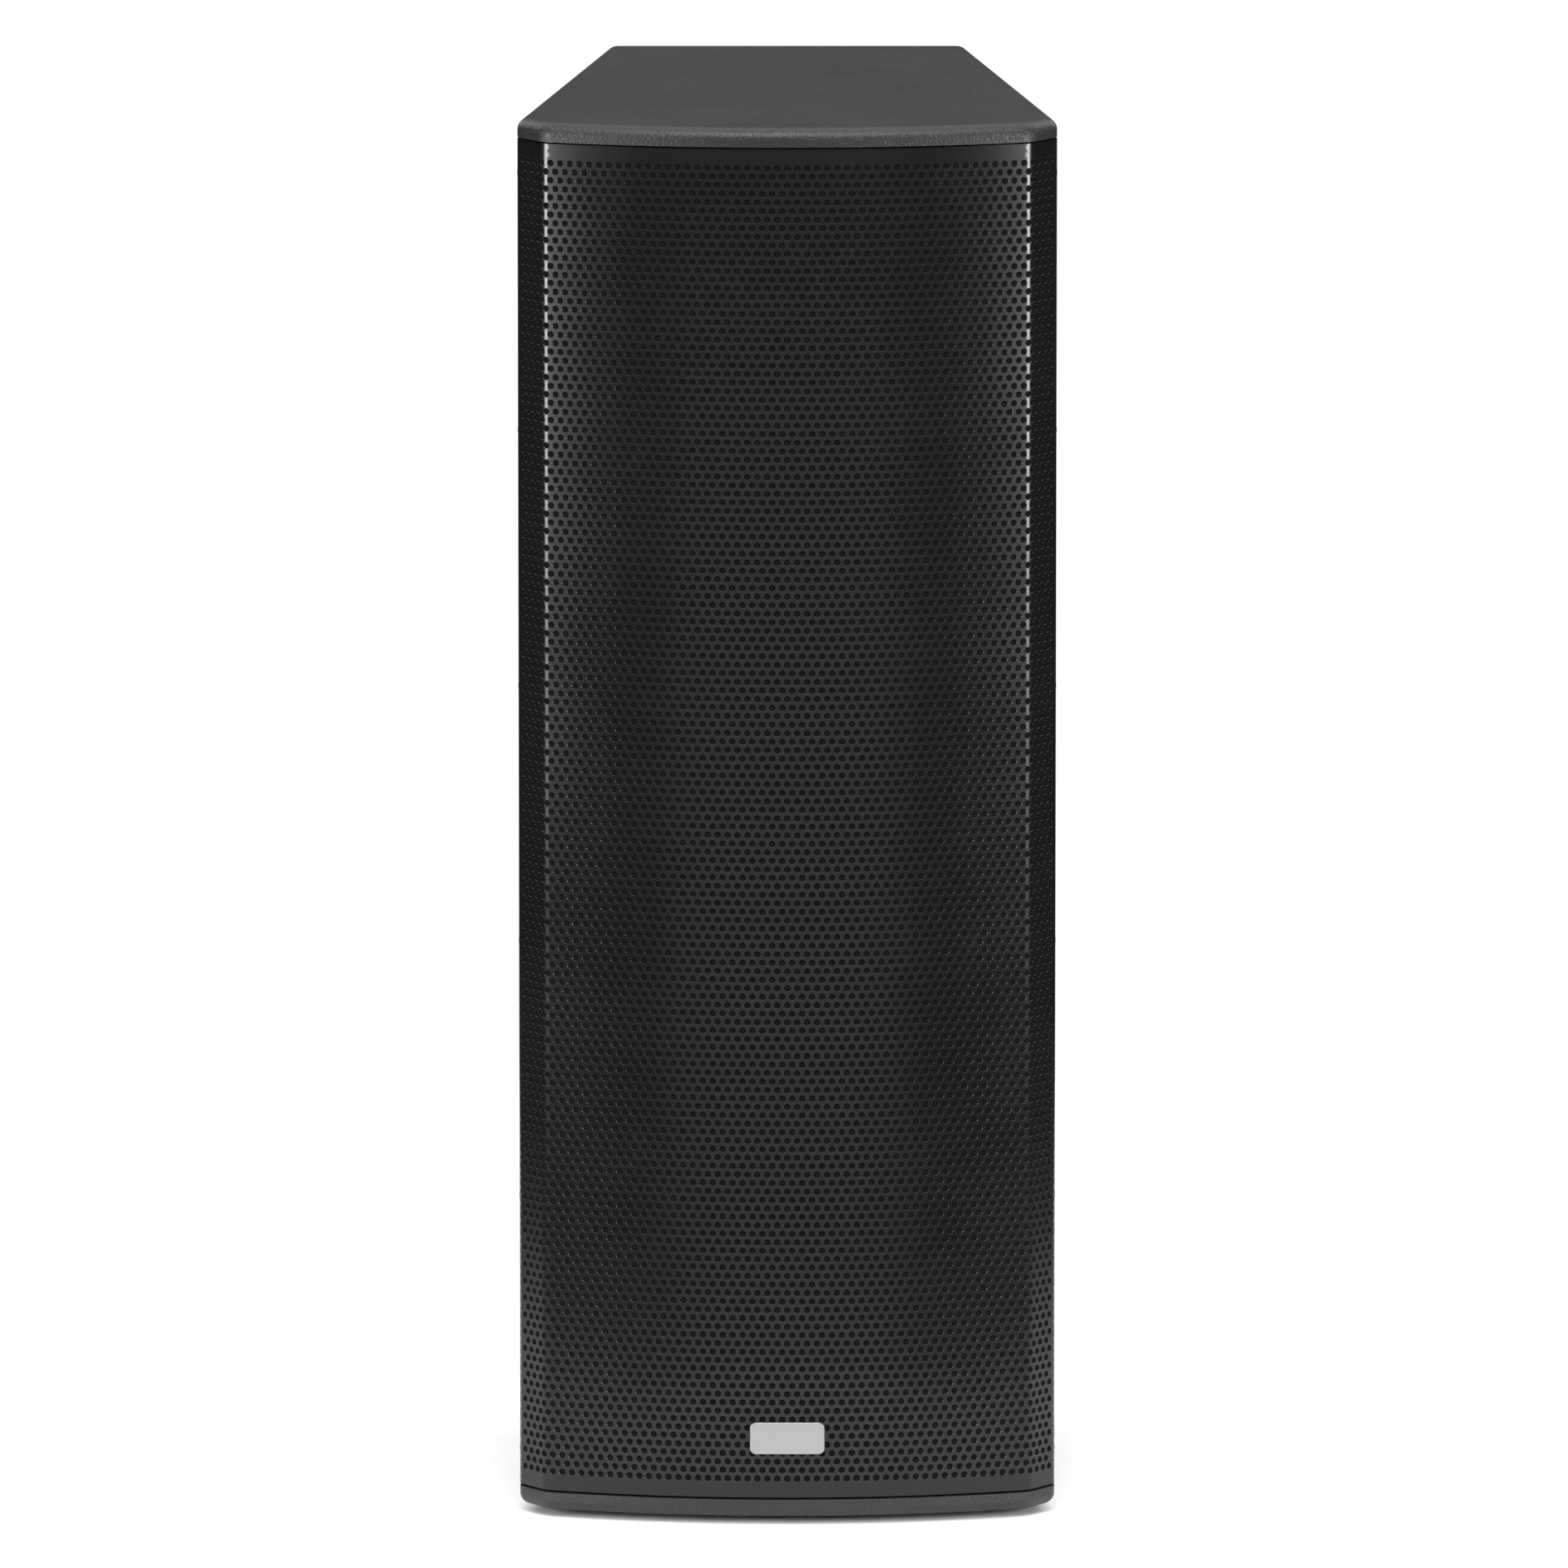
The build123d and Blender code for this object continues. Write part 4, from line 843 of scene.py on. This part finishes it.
    def perforated(
        self, cells: np.ndarray, front: int, outward: np.ndarray, ahead: np.ndarray
    ) -> list[Patch]:
        """Makes the perforated cells' faces, ring by ring from the front to the back.

        Args:
            cells: Each perforated cell's outline points.
            front: How many outline points the front has before the back's begin.
            outward: The sheet's outward direction at each point.
            ahead: The sheet's lengthways direction at each point.

        Returns:
            A patch for the face, the rim, the hole's wall and the back.
        """
        holes = np.arange(cells.size).reshape(-1, self.corners)
        start, count = 2 * front, len(self.rings)
        chain = [cells, *(start + i * cells.size + holes for i in range(count)), cells + front]
        spin = np.zeros((len(outward), 2))
        spin[start : start + count * cells.size] = np.tile(self.circle, (count * len(cells), 1))
        to_axis = -ahead * spin[:, :1]
        to_axis[:, 2] = -spin[:, 1]
        looks = (outward, unit(outward + to_axis), to_axis, -outward)
        patches = []
        for near, far, look in zip(chain, chain[1:], looks):
            quads = np.stack([near, np.roll(near, -1, 1), np.roll(far, -1, 1), far], -1)
            quads = quads.reshape(-1, 4)
            patches.append(Patch(quads, look[quads]))
        return patches

    def plain(self, cells: np.ndarray, front: int, hub: int, outward: np.ndarray) -> list[Patch]:
        """Makes the plain cells' faces, as fans round their middles.

        Args:
            cells: Each plain cell's outline points.
            front: How many outline points the front has before the back's begin.
            hub: The first middle point's number.
            outward: The sheet's outward direction at each point.

        Returns:
            A patch for the front and one for the back.
        """
        hubs = np.repeat(hub + np.arange(len(cells))[:, None], self.corners, 1)
        turned = np.roll(cells, -1, 1)
        face = np.stack([cells, turned, hubs], -1).reshape(-1, 3)
        back = np.stack([turned + front, cells + front, hubs + len(cells)], -1).reshape(-1, 3)
        return [Patch(face, outward[face]), Patch(back, -outward[back])]

    def border(self, cells: np.ndarray, front: int) -> np.ndarray:
        """Finds the sides that only one cell has, and closes the sheet's thickness along them.

        Args:
            cells: Each cell's outline points.
            front: How many outline points the front has before the back's begin.

        Returns:
            Four-cornered faces from front to back.
        """
        sides = np.stack([cells, np.roll(cells, -1, 1)], -1).reshape(-1, 2)
        code = np.sort(sides, 1) @ np.array([1, front])
        _, first, times = np.unique(code, return_index=True, return_counts=True)
        start, end = sides[first[times == 1]].T
        return np.column_stack([end, start, start + front, end + front])

    def build(self, wardrobe: Wardrobe) -> list[bpy.types.Object]:
        """Builds and dresses every band.

        Args:
            wardrobe: The finishes.

        Returns:
            The bands.
        """
        self.measure()
        pieces = [self.band(i) for i in range(self.bands)]
        for piece in pieces:
            wardrobe.dress(piece, GRILLE_COAT)
            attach(piece, "cabinet")
            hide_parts("grille")
        return pieces


# ------------------------------------------------------------------ studio
@dataclass(frozen=True)
class SoftLight:
    """A soft rectangular light that faces a point."""

    name: str
    place: tuple[float, float, float]
    target: tuple[float, float, float]
    size: tuple[float, float]
    power: float

    def hang(self) -> None:
        """Adds the light."""
        data = bpy.data.lights.new(self.name, "AREA")
        data.shape = "RECTANGLE"
        data.size, data.size_y = self.size
        data.energy = self.power
        lamp = bpy.data.objects.new(self.name, data)
        bpy.context.scene.collection.objects.link(lamp)
        lamp.location = self.place
        lamp.visible_camera = False
        toward = Vector(self.target) - Vector(self.place)
        lamp.rotation_euler = toward.to_track_quat("-Z", "Y").to_euler()


LIGHTS = (
    SoftLight("left_softbox", (-1.95, -1.7, 0.76), (0.0, -0.1, 0.9), (0.62, 0.8), 48.0),
    SoftLight("right_softbox", (1.95, -1.7, 0.76), (0.0, -0.1, 0.9), (0.62, 0.8), 48.0),
    SoftLight("front_canopy", (0.0, -1.9, 3.0), (0.0, -0.2, 0.9), (1.6, 0.8), 46.0),
    SoftLight("low_front_card", (0.0, -3.2, -0.1), (0.0, 0.0, -0.1), (2.0, 1.3), 7.0),
    SoftLight("left_rear", (-2.2, 1.9, 2.3), (0.0, 0.1, 0.6), (1.4, 1.4), 26.0),
    SoftLight("right_rear", (2.2, 1.9, 2.3), (0.0, 0.1, 0.6), (1.4, 1.4), 26.0),
)


@dataclass(frozen=True)
class Studio:
    """Pale floor, soft lights, sky and camera."""

    floor_radius: float = 1.2
    floor_sides: int = 96
    floor_back: float = 0.45
    floor_level: float = 0.86
    sky: float = 0.05
    top_light: float = 3.25
    top_softness: float = 110.0
    camera_distance: float = 18.0
    camera_height: float = 3.907
    aim: tuple[float, float, float] = (-0.0026, -0.2275, 0.607)
    view_width: float = 1.255
    camera_reach: float = 100.0

    def lay_floor(self, wardrobe: Wardrobe) -> None:
        """Lays a pale round floor under the object.

        Args:
            wardrobe: The finishes.
        """
        sides, shade = self.floor_sides, grey(self.floor_level)
        around = np.linspace(0.0, 2 * math.pi, sides + 1)[:-1]
        ring = np.column_stack([np.cos(around), np.sin(around), np.zeros(sides)])
        ring *= self.floor_radius
        ring[:, 1] += self.floor_back
        floor = link_mesh("studio_floor", ring, [np.arange(sides)[None, :]])
        finish = Finish("pale_floor", shade, shade, 0.9, Relief.PEEL, grains=3.0, height=0.0)
        wardrobe.dress(floor, finish)

    def light(self) -> None:
        """Hangs the lights and the sky."""
        for light in LIGHTS:
            light.hang()
        self.hang_sun()
        self.hang_sky()

    def hang_sky(self) -> None:
        """Makes the sky white to the camera and dim to everything that it lights."""
        world = bpy.data.worlds.new("studio_sky")
        bpy.context.scene.world = world
        graph = Graph(world)
        dim, bright = (
            graph.node("ShaderNodeBackground", {}, {"Color": WHITE, "Strength": level}).outputs[0]
            for level in (self.sky, 1.0)
        )
        seen = graph.node("ShaderNodeLightPath", {}, {}).outputs["Is Camera Ray"]
        mixed = graph.node("ShaderNodeMixShader", {}, {0: seen, 1: dim, 2: bright})
        graph.node("ShaderNodeOutputWorld", {}, {"Surface": mixed.outputs[0]})

    def hang_sun(self) -> None:
        """Lights the floor evenly from straight above, so softly that shadows stay faint."""
        data = bpy.data.lights.new("even_top_light", "SUN")
        data.energy = self.top_light
        data.angle = math.radians(self.top_softness)
        lamp = bpy.data.objects.new("even_top_light", data)
        bpy.context.scene.collection.objects.link(lamp)

    def set_camera(self) -> None:
        """Places the camera in front of the grille and above it."""
        data = bpy.data.cameras.new("camera")
        camera = bpy.data.objects.new("camera", data)
        bpy.context.scene.collection.objects.link(camera)
        aim = Vector(self.aim)
        camera.location = (aim.x, aim.y - self.camera_distance, self.camera_height)
        toward = aim - camera.location
        camera.rotation_euler = toward.to_track_quat("-Z", "Y").to_euler()
        data.lens = data.sensor_width * toward.length / self.view_width
        data.clip_end = self.camera_reach
        bpy.context.scene.camera = camera


def main() -> None:
    """Builds the visual model and the studio round it."""
    logging.basicConfig(level=logging.INFO, format="%(message)s")
    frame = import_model()
    wardrobe = Wardrobe()
    LOG.info("dressed %d nodes", wardrobe.dress_frame(frame))
    for piece in PerforatedGrille().build(wardrobe):
        LOG.info("%s: %d faces", piece.name, len(piece.data.polygons))
    studio = Studio()
    studio.lay_floor(wardrobe)
    studio.light()
    studio.set_camera()
    bpy.context.scene.view_settings.view_transform = "Standard"


if __name__ == "__main__":
    main()
